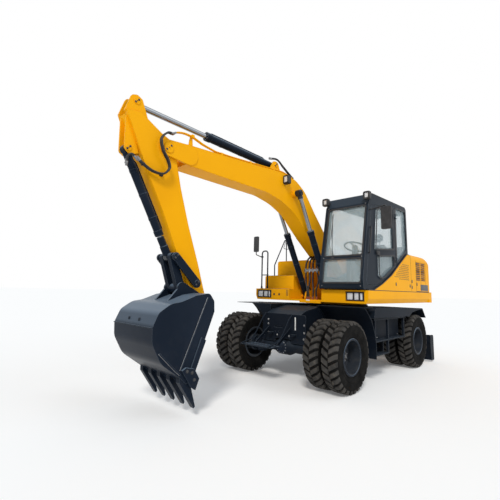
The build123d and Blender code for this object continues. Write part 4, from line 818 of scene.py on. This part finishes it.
# window openings seen from the side, as (x, z)
DOOR_WINDOWS = [[(0.865, 2.235), (0.770, 2.985), (0.050, 3.115), (0.050, 2.315)],
                [(0.745, 2.130), (0.040, 2.198), (0.040, 1.990), (0.500, 1.775), (0.640, 1.740),
                 (0.745, 1.790)]]
LEFT_WINDOW = [(-0.125, 2.065), (-0.125, 3.165), (-0.640, 3.185), (-0.665, 2.440), (-0.600, 2.340)]
RIGHT_WINDOW = [(1.130, 1.750), (0.905, 3.010), (0.800, 3.130), (-0.560, 3.150), (-0.600, 2.100),
                (0.700, 1.750)]
# the two windscreens: bottom and top, and their sides
SCREENS = [(2.110, 3.000), (1.640, 2.055)]
SCREEN_Y = (0.447, 1.170)
# upper edge of the bodywork beside the cab
SWEEP_LINE = [(1.180, 1.536), (0.960, 1.536), (0.612, 1.648), (0.197, 1.820), (-0.214, 2.058),
              (-0.620, 2.283), (-0.735, 2.283)]
GUTTER = [(0.93, 3.222), (0.90, 3.232), (-0.62, 3.268), (-0.68, 3.226)]
FRONT_LEAN = Vector((1.350, 0, 0.270)).normalized()


def cab_front_x(z):
    """The cab's front face at this height."""
    if z < 1.690:
        return 1.300 + (z - 1.535) * 0.025 / 0.155
    return 1.325 - (z - 1.690) * 0.270 / 1.350


def window_seal(piece, corners, out, width, height, radius=0.045):
    """Rubber seal lying on the face round one window."""
    piece.sweep(rounded(corners, radius, True), bar(width, height), True, out)


def cab_seals():
    """Rubber seals round every window, and the dark and light strips along the sweep of the bodywork."""
    door = Piece("door_seals", "door", BLACK)
    for outline in DOOR_WINDOWS:
        window_seal(door, [(x, DOOR_Y + 0.001, z) for x, z in outline], (0, 1, 0), 0.026, 0.007)
    door.done()
    cab = Piece("cab_seals", "upper", BLACK, TRIM)
    for outline, face, out in ((LEFT_WINDOW, CAB_LEFT_Y, 1), (RIGHT_WINDOW, CAB_RIGHT_Y, -1)):
        window_seal(cab, [(x, face + out * 0.0005, z) for x, z in outline], (0, out, 0), 0.026, 0.006)
    for low, high in SCREENS:
        corners = [(y, z) for y, z in zip(SCREEN_Y + SCREEN_Y[::-1], (low, low, high, high))]
        face = [(cab_front_x(z) + 0.0005, y, z) for y, z in corners]
        window_seal(cab, face, FRONT_LEAN, 0.028, 0.007, 0.05)
    sweep = rounded([(x, 1.2305, z) for x, z in SWEEP_LINE], 0.06)
    cab.sweep(sweep, ring(0.008, 8))
    cab.sweep([point + Vector((0, 0.004, -0.011)) for point in sweep], ring(0.0045, 8), material=1)
    cab.done()


def cab_trim():
    """Pillar strip, wiper, grab handle, roof hatch, gutters, vents and bolt heads of the cab."""
    cab = Piece("cab_trim", "upper", BLACK, STEEL)
    cab.box((-0.115, CAB_LEFT_Y, 2.080), (-0.068, CAB_LEFT_Y + 0.006, 3.150), 0.002)
    pivot = Vector((cab_front_x(2.07), 0.62, 2.07))
    foot = pivot + FRONT_LEAN * 0.016
    tip = Vector((cab_front_x(2.88), 0.54, 2.88)) + FRONT_LEAN * 0.016
    cab.lathe(pivot, FRONT_LEAN, [(0, 0.026), (0.018, 0.024), (0.024, 0.012), (0.024, 0)], 20)
    cab.sweep([foot, foot.lerp(tip, 0.3) + FRONT_LEAN * 0.012, tip], ring(0.005, 8))
    blade = [Vector((cab_front_x(z), 0.54, z)) + FRONT_LEAN * 0.008 for z in (2.42, 2.65, 2.92)]
    cab.sweep(blade, bar(0.010, 0.010))
    grab = [(1.10, 1.218, 2.15), (1.115, 1.243, 2.16), (1.03, 1.243, 2.60), (1.015, 1.218, 2.61)]
    cab.sweep(rounded(grab, 0.03), ring(0.011, 10))
    hatch = [(0.60, 0.55, 3.252), (0.60, 1.04, 3.252), (0.02, 1.04, 3.262), (0.02, 0.55, 3.262)]
    cab.sweep(rounded(hatch, 0.06, True), bar(0.020, 0.008), True, (0.02, 0, 1))
    for y in (0.378, 1.208):
        cab.sweep([(x, y, z) for x, z in GUTTER], ring(0.009, 8))
    # Black bars for the vent slots: painted shade of the openings.
    for row in range(5):
        z = 1.62 + row * 0.022
        cab.box((-0.7475, 0.60, z), (-0.7425, 0.98, z + 0.010), 0.002)
    for y in (0.43, 1.16):
        for z in (1.59, 2.083, 3.03):
            face = Vector((cab_front_x(z), y, z)) + FRONT_LEAN * 0.001
            cab.bolt(face, FRONT_LEAN, 0.007, 0.006, 1)
    cab.done()

    door = Piece("door_trim", "door", BLACK, STEEL, TRIM)
    door.box((0.70, DOOR_Y, 2.150), (0.83, DOOR_Y + 0.006, 2.215), 0.003)
    handle = [(0.715, 0.003, 2.182), (0.725, 0.014, 2.182), (0.800, 0.014, 2.176), (0.815, 0.003, 2.176)]
    door.sweep(rounded([(x, DOOR_Y + out, z) for x, out, z in handle], 0.01), ring(0.0075, 8))
    door.stud((0.760, DOOR_Y + 0.004, 2.164), (0, 1, 0), 0.009, 0.004, 0.008, 12, 1)
    for z in (2.125, 2.980):
        for x in (-0.025, 0.035):
            door.bolt((x, DOOR_Y, z), (0, 1, 0), 0.007, 0.006, 1)
    inner = [(0.70, 1.195, 1.86), (0.70, 1.165, 1.86), (0.62, 1.165, 2.10), (0.62, 1.195, 2.10)]
    door.sweep(rounded(inner, 0.02), ring(0.010, 8), material=2)
    door.done()


def mirror_glass():
    """Silvered glass in the two mirror cases, facing back to the operator."""
    silver = bare_metal("mirror_silver", rgb(0.80, 0.82, 0.84), 0.02, 0.02)
    glass = Piece("mirror_glass", "upper", silver)
    for (y0, y1), (z0, z1) in (((1.503, 1.647), (2.525, 2.865)), ((-1.348, -1.242), (2.325, 2.635))):
        glass.box((1.1845, y0, z0), (1.1875, y1, z1), 0.001)
    glass.done()


SWELL_FRAMES = 14


def cushion(name, low, high, plump):
    """Stuffed cushion: a block that is smaller by plump, swollen by air inside a cloth skin."""
    low, high = Vector(low), Vector(high)
    middle, size = (low + high) / 2, high - low
    mesh = bmesh.new()
    bmesh.ops.create_cube(mesh, size=1.0)
    bmesh.ops.scale(mesh, vec=size - Vector((plump, plump, plump)), verts=mesh.verts)
    bmesh.ops.bevel(mesh, geom=mesh.edges[:], offset=min(size) * 0.3, segments=3, affect="EDGES")
    bmesh.ops.translate(mesh, vec=middle, verts=mesh.verts)
    data = bpy.data.meshes.new(name)
    mesh.to_mesh(data)
    mesh.free()
    made = bpy.data.objects.new(name, data)
    bpy.context.collection.objects.link(made)
    grain = made.modifiers.new("grain", "REMESH")
    grain.mode, grain.voxel_size = "VOXEL", 0.012
    cloth = made.modifiers.new("fill", "CLOTH")
    cloth.settings.use_pressure = True
    cloth.settings.uniform_pressure_force = 4.0
    cloth.settings.effector_weights.gravity = 0.0
    cloth.settings.tension_stiffness = 40.0
    cloth.settings.bending_stiffness = 8.0
    cloth.point_cache.frame_end = SWELL_FRAMES
    for number in range(1, SWELL_FRAMES + 1):
        bpy.context.scene.frame_set(number)
    graph = bpy.context.evaluated_depsgraph_get()
    solved = bpy.data.meshes.new_from_object(made.evaluated_get(graph))
    for vertex in solved.vertices:
        for axis in range(3):
            vertex.co[axis] = min(max(vertex.co[axis], low[axis]), high[axis])
    made.modifiers.clear()
    made.data = solved
    bpy.context.scene.frame_set(1)
    solved.materials.clear()
    solved.materials.append(CLOTH)
    for face in solved.polygons:
        face.use_smooth = True
    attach(made, "upper")
    return made


LEVER = [(0, 0.030), (0.02, 0.022), (0.06, 0.010), (0.10, 0.010), (0.12, 0.020), (0.19, 0.024),
         (0.23, 0.020), (0.24, 0)]


def cab_inside():
    """Operator's seat with its foot, armrests, levers and headrest rods."""
    low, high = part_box("seat")
    middle = (low[1] + high[1]) / 2
    half = (high[1] - low[1]) / 2

    def corners(x, y, z):
        """Two corners from the seat's back, middle and floor; y is half the width."""
        return ((low[0] + x[0], middle - y, low[2] + z[0]), (low[0] + x[1], middle + y, low[2] + z[1]))

    length, height = high[0] - low[0], high[2] - low[2]
    base = cushion("seat_cushion", *corners((0.02, length), half * 0.92, (0.16, 0.30)), 0.022)
    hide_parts("seat")
    cushion("seat_back", *corners((0, 0.15), half * 0.85, (0.30, height - 0.22)), 0.022)
    cushion("seat_headrest", *corners((0.01, 0.12), 0.13, (height - 0.19, height)), 0.018)
    stand = Piece("seat_frame_and_levers", "upper", BLACK, TRIM, STEEL)
    stand.box(*corners((0.06, length - 0.08), half * 0.75, (0, 0.05)), 0.01)
    stand.box(*corners((0.10, length - 0.14), half * 0.55, (0.05, 0.155)), 0.02, 1)
    for side in (1, -1):
        y = middle + side * (half - 0.045)
        top = low[2] + 0.51
        stand.box((low[0] + 0.10, y - 0.035, top - 0.05), (high[0] - 0.06, y + 0.035, top), 0.015)
        stand.lathe((high[0] - 0.10, y, top), (0.12, 0, 1), LEVER, 16)
        rod = (low[0] + 0.07, middle + side * 0.05)
        stand.sweep([(*rod, high[2] - 0.26), (*rod, high[2] - 0.15)], ring(0.006, 8), material=2)
    stand.done()


# ---------------------------------------------------------------- lamps
DECK_LAMPS = [(-1.195, -1.045), (-1.040, -0.920), (-0.915, -0.850), (0.860, 0.985), (0.990, 1.090),
              (1.093, 1.160)]
ROOF_LAMPS = [(0.335, 0.455), (1.150, 1.270)]
TAIL_FACE = -2.120


def lamp_face(piece, x, y, z, border):
    """Lens with a raised bezel, looking along +X, between two y and two z values."""
    half = border / 2
    (y0, y1), (z0, z1) = (y[0] + half, y[1] - half), (z[0] + half, z[1] - half)
    piece.box((x - 0.004, y0, z0), (x + 0.002, y1, z1), 0.002)
    face = x - 0.001
    line = rounded([(face, y0, z0), (face, y1, z0), (face, y1, z1), (face, y0, z1)], 0.02, True)
    piece.sweep(line, bar(border, 0.012), True, (1, 0, 0), 1)


def lamp_details():
    """Lenses and bezels of the roof and platform lamps, tail lamps, and the boom lamp's lens and bolt."""
    piece = Piece("lamp_lenses", "upper", CLEAR, BLACK, AMBER, RED)
    for y in ROOF_LAMPS:
        lamp_face(piece, 1.1255, y, (3.085, 3.225), 0.030)
    for y in DECK_LAMPS:
        lamp_face(piece, 1.2145, y, (1.350, 1.485), 0.012)
    rim_face = TAIL_FACE - 0.005
    for y0, y1 in ((-0.98, -0.87), (0.87, 0.98)):
        for z0, z1, material in ((1.66, 1.76, 3), (1.77, 1.84, 2)):
            piece.box((TAIL_FACE - 0.008, y0, z0), (TAIL_FACE + 0.001, y1, z1), 0.003, material)
            rim = [(rim_face, y0, z0), (rim_face, y1, z0), (rim_face, y1, z1), (rim_face, y0, z1)]
            piece.sweep(rounded(rim, 0.01, True), bar(0.010, 0.003), True, (-1, 0, 0), 1)
    piece.done()
    boom = Piece("boom_lamp_lens", "boom", CLEAR, BLACK, STEEL)
    lamp_face(boom, 2.0895, (0.152, 0.259), (3.334, 3.476), 0.020)
    boom.bolt((2.05, 0.155, 3.327), (0, 0, -1), 0.010, 0.008, 2)
    boom.done()


# ---------------------------------------------------------------- body work
def seam(piece, points, out, width=0.005, material=0):
    """Dark gap line between two panels."""
    piece.sweep(rounded(points, 0.03), bar(width, 0.0015, 0.0004), up=out, material=material)


HOOD_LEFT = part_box("hood")[1].y + 0.0005
HOOD_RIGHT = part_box("hood")[0].y - 0.0005
LATCHES = [(-1.110, 1.690), (-1.110, 2.120), (-0.820, 1.620), (-0.820, 1.740), (-0.700, 1.642),
           (0.030, 1.658)]
# outline of the perforated patch, (x, z)
VENT_PATCH = [(-0.30, 2.06), (-0.66, 2.08), (-0.66, 1.75), (-0.20, 1.75), (0.10, 1.80)]
FILLER_COVER = [(-0.004, 0), (-0.004, 0.05), (0.004, 0.05), (0.006, 0.046), (0.006, 0)]


def hood_details():
    """Panel gaps, latches, perforated patch, louvre slots, blank plate and filler covers of the hood."""
    piece = Piece("hood_gaps_and_latches", "upper", BLACK, STEEL, TRIM, DARK)
    for face, side in ((HOOD_LEFT, 1), (HOOD_RIGHT, -1)):
        out = (0, side, 0)
        for x in (-1.365, -1.070):
            seam(piece, [(x, face, 1.535), (x, face, 2.200)], out)
        seam(piece, [(-1.860, face, 1.540), (-1.070, face, 1.540)], out, 0.012)
        seam(piece, [(-1.680, face, 1.540), (-1.680, face, 2.190)], out)
        # Black boxes in the louvre slots: painted shade in the gaps between the slats.
        y0, y1 = sorted((face - side * 0.0065, face - side * 0.0033))
        for x0, x1 in ((-1.640, -1.400), (-1.330, -1.095)):
            for row in range(10):
                z = 1.785 + row * 0.040
                piece.box((x0, y0, z - 0.009), (x1, y1, z + 0.009), 0.001)
    seam(piece, [(-0.775, HOOD_LEFT, 1.540), (-0.775, HOOD_LEFT, 2.260)], (0, 1, 0))
    seam(piece, [(1.150, HOOD_LEFT, 1.526), (-1.860, HOOD_LEFT, 1.526)], (0, 1, 0), 0.010)
    for x, z in LATCHES:
        piece.box((x - 0.022, HOOD_LEFT, z - 0.030), (x + 0.022, HOOD_LEFT + 0.004, z + 0.030), 0.003)
        piece.stud((x, HOOD_LEFT + 0.0035, z + 0.008), (0, 1, 0), 0.010, 0.0015, 0.009, material=1)
    # Black discs for the perforations: painted shade of the holes.
    for row in range(9):
        for column in range(16):
            x = -0.64 + column * 0.046 + (0.023 if row % 2 else 0)
            z = 1.765 + row * 0.036
            if inside((x, z), VENT_PATCH):
                piece.stud((x, HOOD_LEFT + 0.0002, z), (0, 1, 0), 0.0115, 0.0006, 0.0105)
    piece.box((-1.820, HOOD_LEFT - 0.001, 1.560), (-1.330, HOOD_LEFT + 0.0015, 1.690), 0.001, 2)
    for x in (-1.44, -1.22):
        piece.lathe((x, 0.62, 2.322), (0, 0, 1), FILLER_COVER, 24, 3)
    piece.done()


def counterweight_details():
    """Lifting eyes, plugs and the gap above the foot of the counterweight."""
    piece = Piece("counterweight_fittings", "upper", STEEL, BLACK, DARK)
    turns = [pi * step / 10 for step in range(-1, 12)]
    for y in (-0.55, 0.55):
        eye = [(-2.00 + 0.035 * cos(turn), y, 2.108 + 0.045 * sin(turn)) for turn in turns]
        piece.sweep(eye, ring(0.010, 8))
    for y in (-0.74, 0.74):
        for z in (1.62, 1.90):
            piece.bolt((TAIL_FACE, y, z), (-1, 0, 0), 0.020, 0.010, 2)
    gap = [(TAIL_FACE - 0.001, y, 1.538) for y in (-0.99, 0.99)]
    seam(piece, gap, (-1, 0, 0), 0.010, 1)
    piece.done()


def inside(point, outline):
    """True when a point lies inside a closed outline."""
    x, z = point
    result = False
    for (x0, z0), (x1, z1) in zip(outline, outline[1:] + outline[:1]):
        if (z0 > z) != (z1 > z) and x < x0 + (z - z0) * (x1 - x0) / (z1 - z0):
            result = not result
    return result


# anti-slip pads on the platform: from and to x, from and to y, height
PADS = [((1.02, 1.20), (-1.14, -0.46), 1.520), ((0.54, 0.98), (-1.20, -0.50), 1.800)]
STUD_PITCH = 0.045
REFLECTORS_X = (0.93, 0.10, -0.75, -1.61)
SOCKET = [(0, 0.020), (0.002, 0.018), (0.002, 0.012), (-0.006, 0.010), (-0.006, 0)]
RAIL_FOOT = [(0, 0.036), (0.006, 0.034), (0.008, 0.020), (0.05, 0.0185), (0.05, 0)]


def deck_details():
    """Anti-slip pads with their studs, sockets and slots at the front, and reflectors along the sides."""
    piece = Piece("deck_fittings", "upper", BLACK, STEEL, DARK, AMBER)
    for (x0, x1), (y0, y1), z in PADS:
        piece.box((x0, y0, z), (x1, y1, z + 0.003), 0.001, 2)
        for row in range(int((x1 - x0) / STUD_PITCH)):
            for column in range(int((y1 - y0) / STUD_PITCH)):
                place = (x0 + 0.03 + row * STUD_PITCH, y0 + 0.03 + column * STUD_PITCH, z + 0.003)
                piece.stud(place, (0, 0, 1), 0.010, 0.0035, 0.007, 8, 1)
    for y in (-0.75, -0.62):
        piece.lathe((1.2222, y, 1.410), (1, 0, 0), SOCKET, 20)
    # Black strips for the vent slots: painted shade of the openings.
    for y in (-0.44, -0.42, -0.40):
        piece.box((1.2205, y, 1.385), (1.2235, y + 0.008, 1.505), 0.001)
    for y0, y1 in ((1.2452, 1.2475), (-1.2475, -1.2452)):
        for x in REFLECTORS_X:
            piece.box((x - 0.035, y0, 1.400), (x + 0.035, y1, 1.445), 0.001, 3)
    piece.done()


def rail_clamps():
    """Clamps and feet of the handrails and the mirror stays."""
    piece = Piece("rail_clamps", "upper", DARK, STEEL)
    for y in (-1.160, -1.000):
        piece.lathe((1.150, y, 1.520), (0, 0, 1), RAIL_FOOT, 20)
        for x in (-0.024, 0.024):
            piece.bolt((1.150 + x, y, 1.526), (0, 0, 1), 0.006, 0.006, 1)
    piece.sweep([(1.150, -1.150, 1.808), (1.150, -1.010, 1.808)], ring(0.010, 10))
    corner = [(0.210, -1.2155, 2.790), (0.345, -1.2155, 2.470), (0.160, -1.2155, 2.470)]
    piece.sweep(rounded(corner, 0.02, True), ring(0.007, 8), True)
    piece.box((1.128, -1.180, 2.185), (1.172, -1.140, 2.215), 0.004)
    piece.box((1.128, -1.020, 1.800), (1.172, -0.980, 1.816), 0.004)
    piece.done()


# ---------------------------------------------------------------- chassis
FRONT_FACE = 1.8605
FRONT_BOLTS = [(-0.335, 0.760), (-0.335, 0.895), (-0.335, 0.970), (0.440, 0.800), (0.440, 0.920),
               (-0.430, 0.700), (0.430, 0.700), (-0.130, 0.720), (0.130, 0.720)]
AXLE_COVER = [(0, 0.105), (0.008, 0.104), (0.014, 0.085), (0.017, 0.040), (0.017, 0)]
# brake line along an axle: behind its middle, across, above the wheels' middle
BRAKE_LINE = [(0.10, 0.10, 0.10), (0.09, 0.30, 0.085), (0.07, 0.62, 0.08)]
GRIP_RIM = [(-0.001, 0.015), (0.003, 0.0165), (0.003, 0.019), (0, 0.021)]


def chassis_details():
    """Bolts and blank strip of the front plate, the slew ring's bolts and a blank tag on the platform."""
    piece = Piece("chassis_bolts_and_lines", "chassis", STEEL, WHITE)
    for y, z in FRONT_BOLTS:
        piece.bolt((FRONT_FACE, y, z), (1, 0, 0), 0.013, 0.012)
    piece.box((FRONT_FACE, 0.248, 0.830), (FRONT_FACE + 0.002, 0.270, 1.040), 0.0006, 1)
    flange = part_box("chassis_frame")[1].z - 0.055
    piece.bolts_round((0, 0, flange), (0, 0, 1), 0.62, 40, 0.011, 0.010)
    piece.done()
    tag = Piece("hanging_tags", "upper", WHITE)
    lean = Matrix.Rotation(-0.15, 3, "X")
    tag.box((1.2235, 0.030, 1.265), (1.2250, 0.110, 1.335), 0.0006, turn=lean)
    tag.done()


def axle_details():
    """Differential covers with their bolts, and the brake lines along the axles."""
    piece = Piece("axle_covers_and_lines", "chassis", STEEL, DARK, HOSE)
    for x, ahead in ((AXLES["front"], 1), (AXLES["rear"], -1)):
        out = (ahead, 0, 0)
        face = x + ahead * 0.13
        piece.lathe((face - ahead * 0.012, 0, WHEEL_RADIUS), out, AXLE_COVER, 32, 1)
        piece.bolts_round((face - ahead * 0.006, 0, WHEEL_RADIUS), out, 0.094, 12, 0.008, 0.008)
        for side in (1, -1):
            line = [(x - ahead * back, side * y, WHEEL_RADIUS + up) for back, y, up in BRAKE_LINE]
            piece.sweep(flowing(line), ring(0.006, 8), material=2)
    piece.done()


def step_details():
    """Raised grip rims on the front step and bolts of the side boxes."""
    piece = Piece("step_rims_and_bolts", "chassis", DARK, STEEL)
    for x in (2.270, 2.400):
        for index in range(10):
            y = -0.340 + index * 0.062
            if y < 0.220:
                piece.lathe((x, y, 0.602), (0, 0, 1), GRIP_RIM, 16)
    for side in (1, -1):
        for x in (-0.36, 0.10, 0.56, 0.80):
            for z in (0.70, 1.01):
                piece.bolt((x, side * 1.0805, z), (0, side, 0), 0.010, 0.009, 1)
    piece.done()


# ---------------------------------------------------------------- blade and bucket
def blade_details():
    """Cutting-edge bolts of the dozer blade."""
    piece = Piece("blade_edge_bolts", "blade", STEEL)
    for index in range(12):
        piece.bolt((-1.9275, -1.10 + index * 0.2, 0.120), (-1, 0, 0), 0.014, 0.003)
    piece.done()


BUCKET_FACE = 0.4555
CUTTER_OUT = 0.4815
SIDE_STRIPS = [[(3.905, 1.372), (4.150, 0.812), (4.262, 0.560)],
               [(4.545, 0.772), (4.335, 0.570), (4.262, 0.510)]]
SIDE_CUTTER = [(4.262, 0.560), (4.205, 0.590), (4.085, 0.560), (4.010, 0.440), (4.060, 0.318),
               (4.135, 0.366), (4.180, 0.440)]
PLUG = [(0, 0.020), (0.004, 0.018), (0.004, 0.010), (0, 0.008), (0, 0)]


def bucket_details():
    """Side strips with their welds, bolted side cutters, and the plugs and seam of the bucket's back."""
    piece = Piece("bucket_plates_and_welds", "bucket", DARK, STEEL, FRAME_DARK_SHADED, CAST)
    for side in (1, -1):
        out = (0, side, 0)
        for points in SIDE_STRIPS:
            line = rounded([(x, side * BUCKET_FACE, z) for x, z in points], 0.05)
            piece.sweep(line, bar(0.016, 0.006), up=out)
            piece.sweep([point + Vector((0.014, 0, 0)) for point in line], ring(0.0035, 6), material=1)
        piece.prism(SIDE_CUTTER, sorted((side * BUCKET_FACE, side * CUTTER_OUT)), 0.004)
        for x, z in ((4.120, 0.520), (4.190, 0.545), (4.085, 0.440)):
            piece.bolt((x, side * CUTTER_OUT, z), out, 0.013, 0.012, 3)
    for y in (-0.12, 0.12):
        piece.lathe((4.628, y, 1.118), (0.93, 0, 0.36), PLUG, 18, 2)
    piece.sweep([(4.652, -0.4545, 1.046), (4.652, 0.4545, 1.046)], bar(0.014, 0.006), up=(1, 0, 0))
    piece.done()


# ---------------------------------------------------------------- cylinders
BUCKET_GLAND = 1.090
# cylinder, body, barrel's node, middles across, gland's distance from the base pin, tube radius, pipe's side
CYLINDERS = [("boom", "boom_barrels", "boom_cylinder_barrels", (0.270, -0.270), 1.340, 0.058, 1),
             ("arm", "arm_barrel", "arm_cylinder_barrel", (0.0,), 1.470, 0.060, 1),
             ("bucket", "bucket_barrel", "bucket_cylinder_barrel", (0.0,), BUCKET_GLAND, 0.050, -1)]


def barrel_details():
    """Glands, feed pipes and bands of the cylinders, each on its own barrel."""
    half = Vector((0.016, 0.016, 0.016))
    for cylinder, body, node, middles, gland, tube, pipe_side in CYLINDERS:
        piece = Piece(f"{node}_fittings", body, DARK, STEEL)
        x, z = side_view(f"{cylinder}_barrel_turn")
        along = Vector(JOINTS[f"{cylinder}_rod_slide"]["axis"])
        out = Vector((-along.z, 0, along.x)) * pipe_side
        band = [(-0.02, tube), (-0.017, tube + 0.003), (0.017, tube + 0.003), (0.02, tube)]
        cap = [(-0.004, tube * 1.10), (0.006, tube * 1.10), (0.012, tube * 0.95), (0.012, tube * 0.6)]
        for y in middles:
            start = Vector((x, y, z))
            for share in (0.24, 0.52, 0.80):
                place = start + along * gland * share
                piece.lathe(place, along, band, 28)
                clamp = place + out * (tube + 0.006)
                piece.box(clamp - half, clamp + half, 0.004)
            piece.lathe(start + along * gland, along, cap, 32)
            face = start + along * (gland + 0.010)
            piece.bolts_round(face, along, tube * 0.88, 8, 0.007, 0.006, material=1)
            pipe = [start + along * gland * share + out * (tube + 0.018) * off
                    for share, off in ((0.13, 0.75), (0.17, 1.0), (0.93, 1.0), (0.965, 0.75))]
            piece.sweep(rounded(pipe, 0.03), ring(0.009, 10))
        piece.done()


def bucket_rod_clevis():
    """Painted sleeve on the bucket cylinder's rod, from its eye to just short of the gland."""
    x, z = BUCKET_EYE
    base_x, base_z = side_view("bucket_barrel_turn")
    back = Vector((base_x - x, 0, base_z - z))
    reach = back.length - BUCKET_GLAND
    sleeve = [(0.035, 0.052), (0.150, 0.052), (0.158, 0.046), (reach - 0.030, 0.046), (reach - 0.024, 0.033)]
    piece = Piece("bucket_rod_clevis", "bucket_rod", DARK)
    piece.lathe((x, 0, z), back, sleeve, 32)
    piece.done()


def dress_object():
    """Everything that rides on the solids, piece by piece."""
    for dress in (barrel_details, bucket_rod_clevis, wheels, pin_caps, boom_details, arm_details,
                  boom_foot_hoses, boom_tip_hoses, cylinder_hoses, cab_seals, cab_trim, mirror_glass,
                  cab_inside, lamp_details, hood_details, counterweight_details, deck_details, rail_clamps,
                  chassis_details, axle_details, step_details, blade_details, bucket_details):
        dress()


# ---------------------------------------------------------------- stage
def floor_and_light():
    """Pale floor that keeps the shadow, white surround, one soft key, one fill."""
    bpy.ops.mesh.primitive_plane_add(size=400, location=(0, 0, -0.002))
    floor = bpy.context.object
    floor.name = "floor"
    ground = Finish("pale_floor", Roughness=0.9, Base_Color=rgb(0.93, 0.93, 0.93), Specular_IOR_Level=0.0,
                    Emission_Color=rgb(1.0, 1.0, 1.0), Emission_Strength=0.10)
    floor.data.materials.append(ground.material)

    world = bpy.data.worlds.new("surround")
    bpy.context.scene.world = world
    world.use_nodes = True
    tree = world.node_tree
    light = tree.nodes["Background"]
    light.inputs["Color"].default_value = (0.90, 0.95, 1.0, 1.0)
    light.inputs["Strength"].default_value = 0.50
    white = tree.nodes.new("ShaderNodeBackground")
    white.inputs["Color"].default_value = (1.0, 1.0, 1.0, 1.0)
    rays = tree.nodes.new("ShaderNodeLightPath")
    seen = rays.outputs["Is Camera Ray"]
    for kind in ("Is Glossy Ray", "Is Transmission Ray"):
        either = tree.nodes.new("ShaderNodeMath")
        either.operation = "MAXIMUM"
        tree.links.new(seen, either.inputs[0])
        tree.links.new(rays.outputs[kind], either.inputs[1])
        seen = either.outputs[0]
    join = tree.nodes.new("ShaderNodeMixShader")
    tree.links.new(seen, join.inputs["Fac"])
    tree.links.new(light.outputs[0], join.inputs[1])
    tree.links.new(white.outputs[0], join.inputs[2])
    tree.links.new(join.outputs[0], tree.nodes["World Output"].inputs["Surface"])

    lamps = [("key", (0.62, 0.42, 0.66), 1.9, 12.0, (1.0, 0.97, 0.92)),
             ("fill", (-0.35, 0.75, 0.55), 0.5, 40.0, (0.88, 0.94, 1.0))]
    for name, towards, power, spread, colour in lamps:
        lamp = bpy.data.lights.new(name, "SUN")
        lamp.energy, lamp.angle, lamp.color = power, radians(spread), colour
        holder = bpy.data.objects.new(name, lamp)
        holder.rotation_euler = Vector(towards).to_track_quat("Z", "Y").to_euler()
        bpy.context.collection.objects.link(holder)


CAMERA_PLACE = (6.586, 3.758, 1.468)
CAMERA_YAW, CAMERA_PITCH, CAMERA_ROLL = 224.273, 7.857, 1.433
CAMERA_LENS = 24.456
CAMERA_SHIFT_Y = -0.0124


def camera():
    """Camera low in front of the left front wheel, looking up at the boom."""
    data = bpy.data.cameras.new("camera")
    data.lens, data.sensor_width = CAMERA_LENS, 36.0
    data.shift_y = CAMERA_SHIFT_Y
    data.clip_end = 500
    yaw, pitch = radians(CAMERA_YAW), radians(CAMERA_PITCH)
    ahead = Vector((cos(pitch) * cos(yaw), cos(pitch) * sin(yaw), sin(pitch)))
    holder = bpy.data.objects.new("camera", data)
    turn = ahead.to_track_quat("-Z", "Y").to_matrix() @ Matrix.Rotation(radians(CAMERA_ROLL), 3, "Z")
    holder.matrix_world = Matrix.Translation(CAMERA_PLACE) @ turn.to_4x4()
    bpy.context.collection.objects.link(holder)
    bpy.context.scene.camera = holder


def main():
    """Camera, light and floor, then every finish and fitting."""
    camera()
    floor_and_light()
    dress_nodes()
    dress_object()
    scene = bpy.context.scene
    scene.view_settings.view_transform = "Standard"


main()
